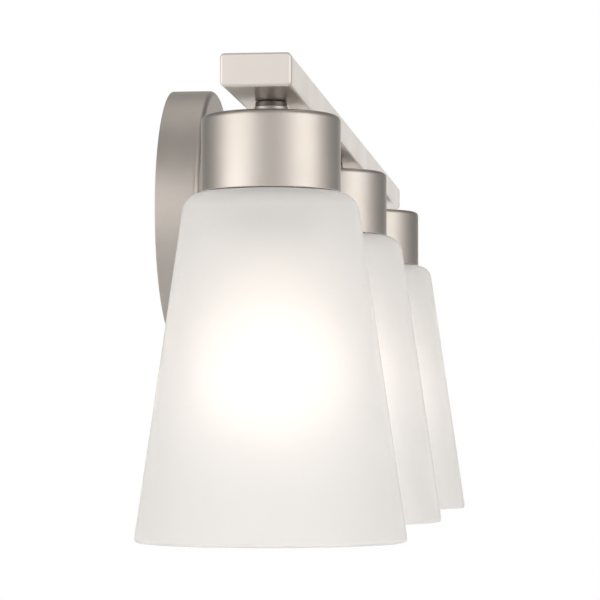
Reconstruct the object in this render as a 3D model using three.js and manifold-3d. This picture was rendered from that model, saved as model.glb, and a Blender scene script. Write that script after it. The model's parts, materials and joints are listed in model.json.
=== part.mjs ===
// A three-light vanity bar: a rectangular bar on one short arm from a round wall canopy, with three
// hanging cups, each holding a lamp socket and a flared glass shade.
//
// Frame: millimetres, +Z up. The origin is on the wall, at the canopy's centre. +X runs along the bar,
// and +Y points into the wall, so the fixture stands out towards -Y.
import * as THREE from "three";
import { mergeVertices } from "three/addons/utils/BufferGeometryUtils.js";
import Module from "manifold-3d";

const wasm = await Module();
wasm.setup();

// ---------------------------------------------------------------- driving dimensions

const SEAT = 0.3; // gap between two pieces that touch
const RUNNING = 0.3; // radial gap of a thread or a shaft in its hole

const BAR_LENGTH = 610;
const BAR_WIDTH = 30; // front to back
const BAR_HEIGHT = 14;
const BAR_WALL = 1.2;
const BAR_EDGE = 2; // outer edge radius
const END_PLATE = 3; // thickness of an end plug's plate
const END_PLUG = 9; // how far it reaches into the bar
const PLUG_WALL = 2;

const LAMP_COUNT = 3;
const LAMP_INSET = 53; // end of the bar to the first lamp's axis
const PROJECTION = 83; // wall to the lamps' axes
const BAR_RISE = 36.5; // bar's middle above the canopy's centre

const CANOPY_RADIUS = 67.5;
const CANOPY_DEPTH = 22.5;
const CANOPY_WALL = 1.2;
const CANOPY_EDGE = 3; // front edge radius

const STRAP_END = 7.55; // stud to the strap's end
const STRAP_WIDTH = 20;
const STRAP_THICK = 2;
const STRAP_CORNER = 3;
const STUD_SPREAD = 88.9; // between the two studs
const BOX_SCREW_INSET = 9.5; // stud to its box screw, which puts the two box screws 69.9 apart
const BOX_SLOT = 9; // length of a box screw's slot
const SCREW_RADIUS = 2;
const SCREW_HEAD_RADIUS = 3.9;
const SCREW_HEAD = 2.4;

const ARM_RADIUS = 8;
const ARM_WALL = 1.5;
const ARM_NIPPLE_RADIUS = 4;
const ARM_NIPPLE_BORE = 2.8;
const PLATE_LENGTH = 24; // the tapped plate inside the bar
const PLATE_THICK = 3;
const PLATE_CORNER_BITE = 0.5; // how far its edge may stand in the bar's rounded inner corner

const NIPPLE_RADIUS = 5;
const NIPPLE_BORE = 3.5;
const NUT_FLATS = 14; // across the flats
const NUT_THICK = 4;
const THREAD_SHOW = 1.3; // how far a threaded tube stands past its nut

const NECK_LENGTH = 6.5;
const NECK_RADIUS = 7.3;
const NECK_FOOT = 2; // height of the collar's foot ring

const CUP_RADIUS = 30.5;
const CUP_HEIGHT = 33.5;
const CUP_WALL = 1;
const CUP_EDGE = 2.5; // top edge radius

const SOCKET_RADIUS = 19.7;
const SOCKET_TOP_WALL = 4;
const SOCKET_CAVITY_RADIUS = 13; // wiring space above the partition
const SOCKET_CAVITY = 19.7; // height of that space
const SOCKET_PARTITION = 3;
const SOCKET_DEPTH = 29; // from the partition to the rim
const SHELL_WALL = 0.6;
const SHELL_SLACK = 0.6; // between the shell and the body around it
const SHELL_EYE = 8; // radius of the hole in the shell's top
const CONTACT_RADIUS = 5;
const CONTACT_STEM = 2.6;
const CONTACT_DROP = 3.4; // partition to the underside of the contact

const SHADE_HEIGHT = 151.7;
const SHADE_LEDGE = 7.1; // from the cup to where the side would meet the top
const SHADE_BOTTOM_RADIUS = 59.4;
const SHADE_WALL = 3.5;
const SHADE_SHOULDER = 9; // outer shoulder radius
const SHADE_HOLE_GAP = 1; // fitter hole around the socket

const RING_FLANGE = 3; // thickness of its flange
const RING_REACH = 2.4; // flange beyond the skirt
const RING_SKIRT_WALL = 2.4;
const RING_SLACK = 0.5; // coarse thread, so a wider gap than the others
const RING_HEIGHT = 8;

const BULB_RADIUS = 30;
const BULB_LENGTH = 110; // from the tip to the end of the glass
const BULB_CAP_RADIUS = 13;
const BULB_CAP_LENGTH = 25; // from the tip to the glass
const BULB_CAP_WALL = 0.7;
const BULB_TIP_RADIUS = 4.8;
const BULB_TIP_THICK = 1.8;
const BULB_SHOULDER = 3.4; // height of the insulating cone above the screw
const BULB_GLASS = 1;
const BULB_NECK_SLACK = 0.5; // cement gap between cap and glass neck
const BULB_THREAD_SLACK = 0.7; // between the lamp's cap and the screw shell
const BULB_EYE = 1.5; // hole in the cap for its lead
const BULB_NECK = 12; // how far the neck reaches into the cap
const BULB_CHEEK = 20; // angle where the round glass meets the cone, in degrees

const WASHER_RADIUS = 6.2;
const WASHER_THICK = 0.8;
const CAP_NUT_RADIUS = 5.4;
const CAP_NUT_BASE = 3; // straight part
const CAP_NUT_WALL = 2; // dome above the bore
const CAP_NUT_END_GAP = 1; // stud to the end of the bore
const STUD_REACH = 6; // thread inside the cap nut

const WIRE_RADIUS = 0.9;
const WIRE_OFFSET = 1.3; // from a nipple's axis to each lead
const RUN_OFFSET = 3.5; // from the bar's middle to each lead's run
const RUN_GAP = 0.5; // between a run and the bar
const SPLICE_MOUTH = 4.2; // mouth radius of a splice cap
const SPLICE_BASE = 6.8;
const SPLICE_LENGTH = 20;
const SPLICE_WALL = 1.2;

// ---------------------------------------------------------------- derived levels

const barBottom = BAR_RISE - BAR_HEIGHT / 2;
const barTop = BAR_RISE + BAR_HEIGHT / 2;
const barBack = -PROJECTION + BAR_WIDTH / 2;
const cupTop = barBottom - NECK_LENGTH;
const cupBottom = cupTop - CUP_HEIGHT;
const socketTop = cupTop - CUP_WALL - SEAT;
const cavityTop = socketTop - SOCKET_TOP_WALL;
const partitionTop = cavityTop - SOCKET_CAVITY;
const partitionBottom = partitionTop - SOCKET_PARTITION;
const socketRim = partitionBottom - SOCKET_DEPTH;
const shadeTop = cupBottom - SEAT;
const ringTop = shadeTop - SHADE_WALL - SEAT;
const bulbTop = partitionBottom - CONTACT_DROP - SEAT;
const nippleTop = barBottom + BAR_WALL + SEAT + NUT_THICK + THREAD_SHOW;
const nippleMouth = -CANOPY_DEPTH + CANOPY_WALL + SEAT + NUT_THICK + 3 * THREAD_SHOW;
const nippleEnd = barBack - BAR_WALL - SEAT - PLATE_THICK - THREAD_SHOW;
const canopyFront = -CANOPY_DEPTH;
const strapLength = STUD_SPREAD + 2 * STRAP_END;
const boxSpread = STUD_SPREAD - 2 * BOX_SCREW_INSET;
const capNutBoreDepth = STUD_REACH + CAP_NUT_END_GAP;
const shadeTopRadius = CUP_RADIUS + SHADE_LEDGE; // where the side would meet the top
const barInnerEdge = BAR_EDGE - BAR_WALL;
const bulbNeckRadius = BULB_CAP_RADIUS - BULB_CAP_WALL - BULB_NECK_SLACK;
const shellBore = BULB_CAP_RADIUS + BULB_THREAD_SLACK;
const lampSpacing = (BAR_LENGTH - 2 * LAMP_INSET) / (LAMP_COUNT - 1);
const lampXs = Array.from(
  { length: LAMP_COUNT },
  (_, i) => (i - (LAMP_COUNT - 1) / 2) * lampSpacing,
);

// ---------------------------------------------------------------- finishes

function finish(color, roughness, metalness) {
  return () => new THREE.MeshStandardMaterial({ color, roughness, metalness });
}
const satinNickel = finish(0xb9afa5, 0.32, 1);
const zincSteel = finish(0xa9a9a6, 0.4, 1);
const brass = finish(0xc09a4e, 0.35, 1);
const copper = finish(0xb5683f, 0.35, 1);
const etchedGlass = finish(0xefece6, 0.55, 0);
const bulbGlass = finish(0xfaf3e6, 0.5, 0);
const blackPhenolic = finish(0x1c1a19, 0.5, 0);
const greenPaint = finish(0x2f6b3c, 0.4, 0.6);
const blackInsulation = finish(0x202022, 0.5, 0);
const whiteInsulation = finish(0xe6e4de, 0.5, 0);
const orangePlastic = finish(0xd9762b, 0.45, 0);
const greenPlastic = finish(0x3f8a4c, 0.45, 0);

// ---------------------------------------------------------------- shape helpers

const part = new THREE.Group();

function add(name, geometry, material, x = 0, y = 0, z = 0, group = part) {
  const mesh = new THREE.Mesh(geometry, material());
  mesh.name = name;
  mesh.position.set(x, y, z);
  group.add(mesh);
}

function solid(geometry) {
  const bare = geometry.index ? geometry.toNonIndexed() : geometry.clone();
  bare.deleteAttribute("normal");
  bare.deleteAttribute("uv");
  const merged = mergeVertices(bare, 1e-4);
  const vertProperties = new Float32Array(merged.attributes.position.array);
  const triVerts = new Uint32Array(merged.index.array);
  return new wasm.Manifold(new wasm.Mesh({ numProp: 3, vertProperties, triVerts }));
}

function geometryOf(manifold) {
  const mesh = manifold.getMesh();
  const geometry = new THREE.BufferGeometry();
  geometry.setAttribute("position", new THREE.BufferAttribute(mesh.vertProperties, 3));
  geometry.setIndex(new THREE.BufferAttribute(mesh.triVerts, 1));
  return geometry;
}

function cut(geometry, tools) {
  let result = solid(geometry);
  for (const tool of tools) result = result.subtract(solid(tool));
  return geometryOf(result);
}

function join(geometries) {
  let result = solid(geometries[0]);
  for (const geometry of geometries.slice(1)) result = result.add(solid(geometry));
  return geometryOf(result);
}

// A closed outline of [radius, height] pairs turned about the Z axis. An outline that starts and ends
// on the axis makes a solid, any other makes a ring.
function turned(outline, sides) {
  const onAxis = outline[0][0] === 0;
  const loop = onAxis ? outline : [...outline, outline[0]];
  let area = 0;
  for (let i = 0; i < loop.length; i++) {
    const [r0, h0] = loop[i];
    const [r1, h1] = loop[(i + 1) % loop.length];
    area += r0 * h1 - r1 * h0;
  }
  const points = loop.map(([r, h]) => new THREE.Vector2(r, h));
  if (area < 0) points.reverse();
  return new THREE.LatheGeometry(points, sides).rotateX(Math.PI / 2);
}

// The same outline about the Y axis, with heights counted towards -Y.
function turnedOutward(outline, sides) {
  return turned(outline, sides).rotateX(Math.PI / 2);
}

// Points along an arc around (r, h), from one angle to the other, in degrees. A second radius, along
// the height, makes it an ellipse. A radius that comes out as nothing is put exactly on the axis.
function arc(r, h, radius, from, to, steps, tall = radius) {
  return Array.from({ length: steps + 1 }, (_, i) => {
    const angle = THREE.MathUtils.degToRad(from + ((to - from) * i) / steps);
    const out = r + radius * Math.cos(angle);
    return [Math.abs(out) < 1e-9 ? 0 : out, h + tall * Math.sin(angle)];
  });
}

function tube(outer, inner, low, high, sides) {
  return turned(
    [
      [inner, low],
      [outer, low],
      [outer, high],
      [inner, high],
    ],
    sides,
  );
}

function tubeOutward(outer, inner, near, far, sides) {
  return tube(outer, inner, near, far, sides).rotateX(Math.PI / 2);
}

function peg(radius, low, high, sides) {
  return turned(
    [
      [0, low],
      [radius, low],
      [radius, high],
      [0, high],
    ],
    sides,
  );
}

function pegOutward(radius, near, far, sides) {
  return peg(radius, near, far, sides).rotateX(Math.PI / 2);
}

function roundedRectangle(width, height, radius, Kind = THREE.Shape) {
  const w = width / 2;
  const h = height / 2;
  const outline = new Kind();
  outline.moveTo(-w + radius, -h);
  outline.absarc(w - radius, -h + radius, radius, -Math.PI / 2, 0, false);
  outline.absarc(w - radius, h - radius, radius, 0, Math.PI / 2, false);
  outline.absarc(-w + radius, h - radius, radius, Math.PI / 2, Math.PI, false);
  outline.absarc(-w + radius, -h + radius, radius, Math.PI, Math.PI * 1.5, false);
  return outline;
}

// A flat shape, drawn in row Y (across) and Z (up), pushed along +X from the origin.
function alongX(shape, length, curveSegments, bevel = 0) {
  const options = { depth: length - 2 * bevel, curveSegments, steps: 1, bevelEnabled: bevel > 0 };
  if (bevel > 0) {
    options.bevelThickness = bevel;
    options.bevelSize = bevel;
    options.bevelOffset = -bevel;
    options.bevelSegments = 2;
  }
  const geometry = new THREE.ExtrudeGeometry(shape, options);
  geometry.translate(0, 0, bevel);
  return geometry.rotateY(Math.PI / 2).rotateX(Math.PI / 2);
}

function hexNut(flats, hole, thickness) {
  const corner = flats / Math.sqrt(3);
  const outline = new THREE.Shape();
  for (let i = 0; i < 6; i++) {
    const angle = (i * Math.PI) / 3;
    const step = i === 0 ? "moveTo" : "lineTo";
    outline[step](corner * Math.cos(angle), corner * Math.sin(angle));
  }
  const eye = new THREE.Path();
  eye.absarc(0, 0, hole, 0, Math.PI * 2, false);
  outline.holes.push(eye);
  return new THREE.ExtrudeGeometry(outline, { depth: thickness, bevelEnabled: false, curveSegments: 6 });
}

// A round lead through a few chosen points.
function lead(points, radius, steps) {
  const path = new THREE.CatmullRomCurve3(
    points.map(([x, y, z]) => new THREE.Vector3(x, y, z)),
    false,
    "centripetal",
  );
  const section = new THREE.Shape();
  for (let i = 0; i < 6; i++) {
    const angle = (i * Math.PI) / 3;
    const step = i === 0 ? "moveTo" : "lineTo";
    section[step](radius * Math.cos(angle), radius * Math.sin(angle));
  }
  return new THREE.ExtrudeGeometry(section, { extrudePath: path, steps, bevelEnabled: false });
}

// ---------------------------------------------------------------- wall side

function buildStrap() {
  const slotShape = roundedRectangle(BOX_SLOT, 2 * (SCREW_RADIUS + RUNNING), SCREW_RADIUS, THREE.Path);
  const outline = roundedRectangle(strapLength, STRAP_WIDTH, STRAP_CORNER);
  const slots = [-1, 1].map((side) => {
    const slot = new THREE.Path(
      slotShape.getPoints(2).map((p) => new THREE.Vector2(p.x + (side * boxSpread) / 2, p.y)),
    );
    return slot;
  });
  const holes = [
    [-STUD_SPREAD / 2, 0, SCREW_RADIUS + RUNNING],
    [STUD_SPREAD / 2, 0, SCREW_RADIUS + RUNNING],
    [0, 0, NIPPLE_RADIUS + RUNNING],
    [groundScrewX, groundScrewZ, SCREW_RADIUS + RUNNING],
  ].map(([x, z, radius]) => {
    const hole = new THREE.Path();
    hole.absarc(x, z, radius, 0, Math.PI * 2, false);
    return hole;
  });
  outline.holes.push(...slots, ...holes);
  const options = { depth: STRAP_THICK, bevelEnabled: false, curveSegments: 4 };
  add("mounting_strap", new THREE.ExtrudeGeometry(outline, options).rotateX(Math.PI / 2), zincSteel);
}

// A screw whose shank ends at the wall and whose head rests on the strap.
function strapScrew(name, x, z, material) {
  const headBase = STRAP_THICK + SEAT;
  const outline = [
    [0, SEAT],
    [SCREW_RADIUS, SEAT],
    [SCREW_RADIUS, headBase],
    [SCREW_HEAD_RADIUS, headBase],
    [SCREW_HEAD_RADIUS, headBase + SCREW_HEAD * 0.6],
    [SCREW_HEAD_RADIUS * 0.7, headBase + SCREW_HEAD],
    [0, headBase + SCREW_HEAD],
  ];
  add(name, turnedOutward(outline, 12), material, x, 0, z);
}

function buildCanopy() {
  const innerEdge = CANOPY_EDGE - CANOPY_WALL;
  const outline = [
    [0, CANOPY_DEPTH],
    ...arc(CANOPY_RADIUS - CANOPY_EDGE, CANOPY_DEPTH - CANOPY_EDGE, CANOPY_EDGE, 90, 0, 2),
    [CANOPY_RADIUS, 0],
    [CANOPY_RADIUS - CANOPY_WALL, 0],
    ...arc(CANOPY_RADIUS - CANOPY_EDGE, CANOPY_DEPTH - CANOPY_EDGE, innerEdge, 0, 90, 1),
    [0, CANOPY_DEPTH - CANOPY_WALL],
  ];
  const drill = (x, z, radius) =>
    pegOutward(radius, CANOPY_DEPTH / 2, CANOPY_DEPTH * 1.5, 12).translate(x, 0, z);
  const pan = cut(turnedOutward(outline, 40), [
    drill(-STUD_SPREAD / 2, 0, SCREW_RADIUS + RUNNING),
    drill(STUD_SPREAD / 2, 0, SCREW_RADIUS + RUNNING),
    drill(0, BAR_RISE, ARM_NIPPLE_RADIUS + RUNNING),
  ]);
  add("canopy", pan, satinNickel);
}

function buildCanopyFastener(side, x) {
  const washerNear = CANOPY_DEPTH + SEAT;
  const nutNear = washerNear + WASHER_THICK + SEAT;
  const boreEnd = nutNear + capNutBoreDepth;
  const bore = SCREW_RADIUS + RUNNING;
  add(`stud_${side}`, pegOutward(SCREW_RADIUS, SEAT, nutNear + STUD_REACH, 12), zincSteel, x);
  const washer = tubeOutward(WASHER_RADIUS, bore, washerNear, washerNear + WASHER_THICK, 12);
  add(`nut_washer_${side}`, washer, satinNickel, x);
  const domeHeight = capNutBoreDepth - CAP_NUT_BASE + CAP_NUT_WALL;
  const dome = arc(0, nutNear + CAP_NUT_BASE, CAP_NUT_RADIUS, 0, 90, 3, domeHeight);
  const outline = [[0, boreEnd], [bore, boreEnd], [bore, nutNear], [CAP_NUT_RADIUS, nutNear], ...dome];
  add(`cap_nut_${side}`, turnedOutward(outline, 12), satinNickel, x);
}

// ---------------------------------------------------------------- arm

function buildArm() {
  const armStart = CANOPY_DEPTH + SEAT;
  const armEnd = -barBack - SEAT;
  const arm = tubeOutward(ARM_RADIUS, ARM_RADIUS - ARM_WALL, armStart, armEnd, 20);
  add("arm_tube", arm, satinNickel, 0, 0, BAR_RISE);
  const plateStart = -barBack + BAR_WALL + SEAT;
  const nipple = tubeOutward(ARM_NIPPLE_RADIUS, ARM_NIPPLE_BORE, -nippleMouth, -nippleEnd, 12);
  add("arm_nipple", nipple, zincSteel, 0, 0, BAR_RISE);
  const eye = ARM_NIPPLE_RADIUS + RUNNING;
  const nut = hexNut(NUT_FLATS, eye, NUT_THICK).rotateX(Math.PI / 2);
  add("arm_nut", nut, zincSteel, 0, canopyFront + CANOPY_WALL + SEAT + NUT_THICK, BAR_RISE);
  const cornerGap = Math.max(SEAT, barInnerEdge - PLATE_CORNER_BITE);
  const plateHeight = BAR_HEIGHT - 2 * BAR_WALL - 2 * cornerGap;
  const outline = roundedRectangle(PLATE_LENGTH, plateHeight, barInnerEdge);
  const hole = new THREE.Path();
  hole.absarc(0, 0, eye, 0, Math.PI * 2, false);
  outline.holes.push(hole);
  const options = { depth: PLATE_THICK, bevelEnabled: false, curveSegments: 6 };
  const plate = new THREE.ExtrudeGeometry(outline, options).rotateX(Math.PI / 2);
  add("arm_backing_plate", plate, zincSteel, 0, -plateStart, BAR_RISE);
}

// ---------------------------------------------------------------- bar

function buildBar() {
  const tubeLength = BAR_LENGTH - 2 * END_PLATE - 2 * SEAT;
  const innerWidth = BAR_WIDTH - 2 * BAR_WALL;
  const innerHeight = BAR_HEIGHT - 2 * BAR_WALL;
  const section = roundedRectangle(BAR_WIDTH, BAR_HEIGHT, BAR_EDGE);
  section.holes.push(roundedRectangle(innerWidth, innerHeight, barInnerEdge, THREE.Path));
  const rail = alongX(section, tubeLength, 3).translate(-tubeLength / 2, -PROJECTION, BAR_RISE);
  const lampHoles = lampXs.map((x) =>
    peg(NIPPLE_RADIUS + RUNNING, barBottom - 1, barBottom + BAR_WALL + 1, 16).translate(x, -PROJECTION, 0),
  );
  const armHole = pegOutward(ARM_NIPPLE_RADIUS + RUNNING, -barBack - 1, -barBack + BAR_WALL + 1, 16);
  add("bar_tube", cut(rail, [...lampHoles, armHole.translate(0, 0, BAR_RISE)]), satinNickel);

  const plugWidth = innerWidth - 2 * SEAT;
  const plugHeight = innerHeight - 2 * SEAT;
  const plate = alongX(roundedRectangle(BAR_WIDTH, BAR_HEIGHT, BAR_EDGE), END_PLATE + 1, 3, 1);
  const flat = alongX(roundedRectangle(BAR_WIDTH + 2, BAR_HEIGHT + 2, BAR_EDGE), 2, 1);
  const front = cut(plate, [flat.translate(END_PLATE, 0, 0)]);
  const plug = alongX(roundedRectangle(plugWidth, plugHeight, barInnerEdge - SEAT), END_PLUG, 2);
  const bore = roundedRectangle(plugWidth - 2 * PLUG_WALL, plugHeight - 2 * PLUG_WALL, barInnerEdge - SEAT);
  const hollow = alongX(bore, END_PLUG + 1, 1);
  const closed = join([front, plug.translate(END_PLATE - 0.5, 0, 0)]);
  const end = cut(closed, [hollow.translate(END_PLATE + 1, 0, 0)]);
  add("bar_end_left", end, satinNickel, -BAR_LENGTH / 2, -PROJECTION, BAR_RISE);
  add("bar_end_right", end.clone().rotateZ(Math.PI), satinNickel, BAR_LENGTH / 2, -PROJECTION, BAR_RISE);
}

// ---------------------------------------------------------------- one lamp

function buildNeck(n, lamp) {
  const low = cupTop + SEAT;
  const high = barBottom - SEAT;
  const hole = NIPPLE_RADIUS + RUNNING;
  const waist = NECK_RADIUS - 0.4;
  const collar = [
    [hole, low],
    [NECK_RADIUS, low],
    [NECK_RADIUS, low + NECK_FOOT],
    [waist, low + NECK_FOOT],
    [waist, high],
    [hole, high],
  ];
  add(`neck_collar_${n}`, turned(collar, 16), satinNickel, 0, 0, 0, lamp);
  const nipple = tube(NIPPLE_RADIUS, NIPPLE_BORE, cavityTop - 0.9, nippleTop, 12);
  add(`socket_nipple_${n}`, nipple, zincSteel, 0, 0, 0, lamp);
  const nut = hexNut(NUT_FLATS, hole, NUT_THICK);
  add(`nipple_nut_${n}`, nut, zincSteel, 0, 0, barBottom + BAR_WALL + SEAT, lamp);
}

function buildCup(n, lamp) {
  const hole = NIPPLE_RADIUS + RUNNING;
  const innerEdge = CUP_EDGE - CUP_WALL;
  const outline = [
    [hole, cupTop],
    ...arc(CUP_RADIUS - CUP_EDGE, cupTop - CUP_EDGE, CUP_EDGE, 90, 0, 2),
    [CUP_RADIUS, cupBottom],
    [CUP_RADIUS - CUP_WALL, cupBottom],
    ...arc(CUP_RADIUS - CUP_EDGE, cupTop - CUP_EDGE, innerEdge, 0, 90, 1),
    [hole, cupTop - CUP_WALL],
  ];
  add(`socket_cup_${n}`, turned(outline, 28), satinNickel, 0, 0, 0, lamp);
}

function buildSocket(n, lamp) {
  const nippleHole = NIPPLE_RADIUS + RUNNING;
  const bore = shellBore + SHELL_WALL + SHELL_SLACK;
  const stemHole = CONTACT_STEM + RUNNING;
  const body = [
    [nippleHole, socketTop],
    [SOCKET_RADIUS, socketTop],
    [SOCKET_RADIUS, socketRim],
    [bore, socketRim],
    [bore, partitionBottom],
    [stemHole, partitionBottom],
    [stemHole, partitionTop],
    [SOCKET_CAVITY_RADIUS, partitionTop],
    [SOCKET_CAVITY_RADIUS, cavityTop],
    [nippleHole, cavityTop],
  ];
  add(`socket_body_${n}`, turned(body, 18), blackPhenolic, 0, 0, 0, lamp);
  const shellOuter = shellBore + SHELL_WALL;
  const shellTop = partitionBottom - SEAT;
  const shell = [
    [SHELL_EYE, shellTop],
    [shellOuter, shellTop],
    [shellOuter, socketRim + 1],
    [shellBore, socketRim + 1],
    [shellBore, shellTop - SHELL_WALL],
    [SHELL_EYE, shellTop - SHELL_WALL],
  ];
  add(`socket_screw_shell_${n}`, turned(shell, 18), brass, 0, 0, 0, lamp);
  const contactBottom = partitionBottom - CONTACT_DROP;
  const contact = [
    [0, contactBottom],
    [CONTACT_RADIUS, contactBottom],
    [CONTACT_RADIUS, contactBottom + 1],
    [CONTACT_STEM, contactBottom + 1],
    [CONTACT_STEM, partitionTop + 0.8],
    [0, partitionTop + 0.8],
  ];
  add(`socket_contact_${n}`, turned(contact, 12), brass, 0, 0, 0, lamp);
}

// The side of the shade leans out by this much for each millimetre down.
const shadeFlare = (SHADE_BOTTOM_RADIUS - shadeTopRadius) / SHADE_HEIGHT;

// A shoulder arc tangent to a level top and to the flared side, inset by a wall thickness.
function shadeShoulder(inset, radius, steps) {
  const lean = Math.atan(shadeFlare);
  const sideShift = inset / Math.cos(lean);
  const corner = shadeTopRadius + shadeFlare * inset - sideShift;
  const centreR = corner - radius * Math.tan((Math.PI / 2 - lean) / 2);
  const centreH = shadeTop - inset - radius;
  return arc(centreR, centreH, radius, 90, THREE.MathUtils.radToDeg(lean), steps);
}

function buildShade(n, lamp) {
  const shadeBottom = shadeTop - SHADE_HEIGHT;
  const hole = SOCKET_RADIUS + SHADE_HOLE_GAP;
  const rim = SHADE_WALL / 2;
  const rimR = SHADE_BOTTOM_RADIUS - rim;
  const innerShoulder = SHADE_SHOULDER - SHADE_WALL;
  const outline = [
    [hole, shadeTop],
    ...shadeShoulder(0, SHADE_SHOULDER, 3),
    ...arc(rimR, shadeBottom + rim, rim, 0, -180, 2),
    ...shadeShoulder(SHADE_WALL, innerShoulder, 2).reverse(),
    [hole, shadeTop - SHADE_WALL],
  ];
  add(`shade_glass_${n}`, turned(outline, 32), etchedGlass, 0, 0, 0, lamp);
  const thread = SOCKET_RADIUS + RING_SLACK;
  const skirt = thread + RING_SKIRT_WALL;
  const flange = skirt + RING_REACH;
  const ring = [
    [thread, ringTop],
    [flange, ringTop],
    [flange, ringTop - RING_FLANGE],
    [skirt, ringTop - RING_FLANGE],
    [skirt, ringTop - RING_HEIGHT],
    [thread, ringTop - RING_HEIGHT],
  ];
  add(`shade_ring_${n}`, turned(ring, 18), blackPhenolic, 0, 0, 0, lamp);
}

function buildBulb(n, lamp) {
  const tip = peg(BULB_TIP_RADIUS, bulbTop - BULB_TIP_THICK, bulbTop, 12);
  add(`bulb_tip_${n}`, tip, brass, 0, 0, 0, lamp);
  const capTop = bulbTop - BULB_TIP_THICK - SEAT;
  const capBottom = bulbTop - BULB_CAP_LENGTH;
  const cap = [
    [BULB_EYE, capTop],
    [BULB_TIP_RADIUS, capTop],
    [BULB_CAP_RADIUS, capTop - BULB_SHOULDER],
    [BULB_CAP_RADIUS, capBottom],
    [BULB_CAP_RADIUS - BULB_CAP_WALL, capBottom],
    [BULB_CAP_RADIUS - BULB_CAP_WALL, capTop - BULB_SHOULDER - BULB_CAP_WALL],
    [BULB_TIP_RADIUS, capTop - BULB_CAP_WALL],
    [BULB_EYE, capTop - BULB_CAP_WALL],
  ];
  add(`bulb_cap_${n}`, turned(cap, 16), zincSteel, 0, 0, 0, lamp);
  const centre = bulbTop - BULB_LENGTH + BULB_RADIUS;
  const neckTop = capBottom + BULB_NECK;
  const collarR = bulbNeckRadius + 1.8;
  const collarH = capBottom - SEAT - 6;
  const outer = [
    [bulbNeckRadius, neckTop],
    [bulbNeckRadius, capBottom - SEAT],
    [collarR, collarH],
    ...arc(0, centre, BULB_RADIUS, BULB_CHEEK, -90, 4),
  ];
  const inner = [
    ...arc(0, centre, BULB_RADIUS - BULB_GLASS, -90, BULB_CHEEK, 4),
    [collarR - BULB_GLASS, collarH],
    [bulbNeckRadius - BULB_GLASS, capBottom - SEAT],
    [bulbNeckRadius - BULB_GLASS, neckTop],
  ];
  add(`bulb_envelope_${n}`, turnedOpen([...outer, ...inner], 20), bulbGlass, 0, 0, 0, lamp);
}

// A shell whose outline touches the axis in its middle, closed at its open end.
function turnedOpen(outline, sides) {
  const start = outline.findIndex(([r]) => r === 0);
  const loop = [...outline.slice(start + 1), ...outline.slice(0, start + 1)];
  return turned(loop, sides);
}

function buildLamp(n, x) {
  const lamp = new THREE.Group();
  lamp.position.set(x, -PROJECTION, 0);
  part.add(lamp);
  buildNeck(n, lamp);
  buildCup(n, lamp);
  buildSocket(n, lamp);
  buildShade(n, lamp);
  buildBulb(n, lamp);
}

// ---------------------------------------------------------------- leads

const groundScrewX = 20;
const groundScrewZ = 5;
const spliceTop = -STRAP_WIDTH / 2 - 4;
const spliceY = -(CANOPY_DEPTH + STRAP_THICK) / 2;
const hotRunZ = barTop - BAR_WALL - RUN_GAP - WIRE_RADIUS;
const neutralRunZ = nippleTop + WIRE_RADIUS + 2.4 * RUN_GAP;
const splices = { hot: -18, neutral: 0, ground: 18 };

// One colour's harness: a feed from its splice through the arm, a run along the bar, and a drop into
// each socket.
function buildHarness(name, side, runZ, dropEnd, material) {
  const runY = -PROJECTION - side * RUN_OFFSET;
  const armX = side * 1.2;
  const spliceX = splices[name];
  const feed = [
    [spliceX, spliceY, spliceTop - 6],
    [spliceX, spliceY, spliceTop + 6],
    [spliceX * 0.8, spliceY + 1, spliceTop + 24],
    [spliceX * 0.4 + armX, nippleMouth + 5, BAR_RISE - 9],
    [armX, nippleMouth + 3.5, BAR_RISE - 1],
    [armX, nippleMouth - 1, BAR_RISE],
    [armX, nippleEnd + 3, BAR_RISE],
  ];
  const climb = [
    [armX, nippleEnd + 4, BAR_RISE],
    [armX, nippleEnd - 1, BAR_RISE],
    [armX, nippleEnd - 3.8, BAR_RISE + (runZ - BAR_RISE) * 0.75],
    [armX, runY, runZ],
  ];
  const runEnd = lampXs[LAMP_COUNT - 1] + WIRE_RADIUS;
  const run = [
    [-runEnd + side * WIRE_OFFSET, runY, runZ],
    [runEnd + side * WIRE_OFFSET, runY, runZ],
  ];
  const drops = lampXs.map((x) => {
    const dropX = x + side * WIRE_OFFSET;
    const inward = (-PROJECTION - runY) / 3.5;
    return lead(
      [
        [dropX, runY, runZ],
        [dropX, runY + inward * 2, runZ - 0.5],
        [dropX, -PROJECTION, nippleTop - 1],
        [dropX, -PROJECTION, nippleTop - 5],
        [dropX, -PROJECTION, dropEnd],
      ],
      WIRE_RADIUS,
      9,
    );
  });
  const lengths = [lead(feed, WIRE_RADIUS, 22), lead(climb, WIRE_RADIUS, 5), lead(run, WIRE_RADIUS, 1)];
  add(`wire_${name}`, join([...lengths, ...drops]), material);
}

function buildGroundLead() {
  const path = [
    [splices.ground, spliceY, spliceTop - 6],
    [splices.ground, spliceY, spliceTop + 6],
    [splices.ground + 6, spliceY + 2, 4],
    [splices.ground + 2, spliceY, BAR_RISE - 16],
    [NUT_FLATS * 0.75, canopyFront + 3, BAR_RISE - 4],
  ];
  add("wire_ground", lead(path, WIRE_RADIUS, 14), copper);
}

function buildSplice(name, x, material) {
  const bottom = -SPLICE_LENGTH;
  const outline = [
    [SPLICE_MOUTH - 1, 0],
    [SPLICE_BASE, 0],
    [SPLICE_BASE, -4],
    [SPLICE_MOUTH, bottom + 2],
    [SPLICE_MOUTH - 1.5, bottom],
    [0, bottom],
    [0, bottom + SPLICE_WALL + 2],
    [SPLICE_MOUTH - SPLICE_WALL - 0.8, bottom + SPLICE_WALL + 2],
    [SPLICE_MOUTH - 1, -8],
  ];
  add(`splice_cap_${name}`, turnedOpen(outline, 12), material, x, spliceY, spliceTop);
}

// ---------------------------------------------------------------- assembly

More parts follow.
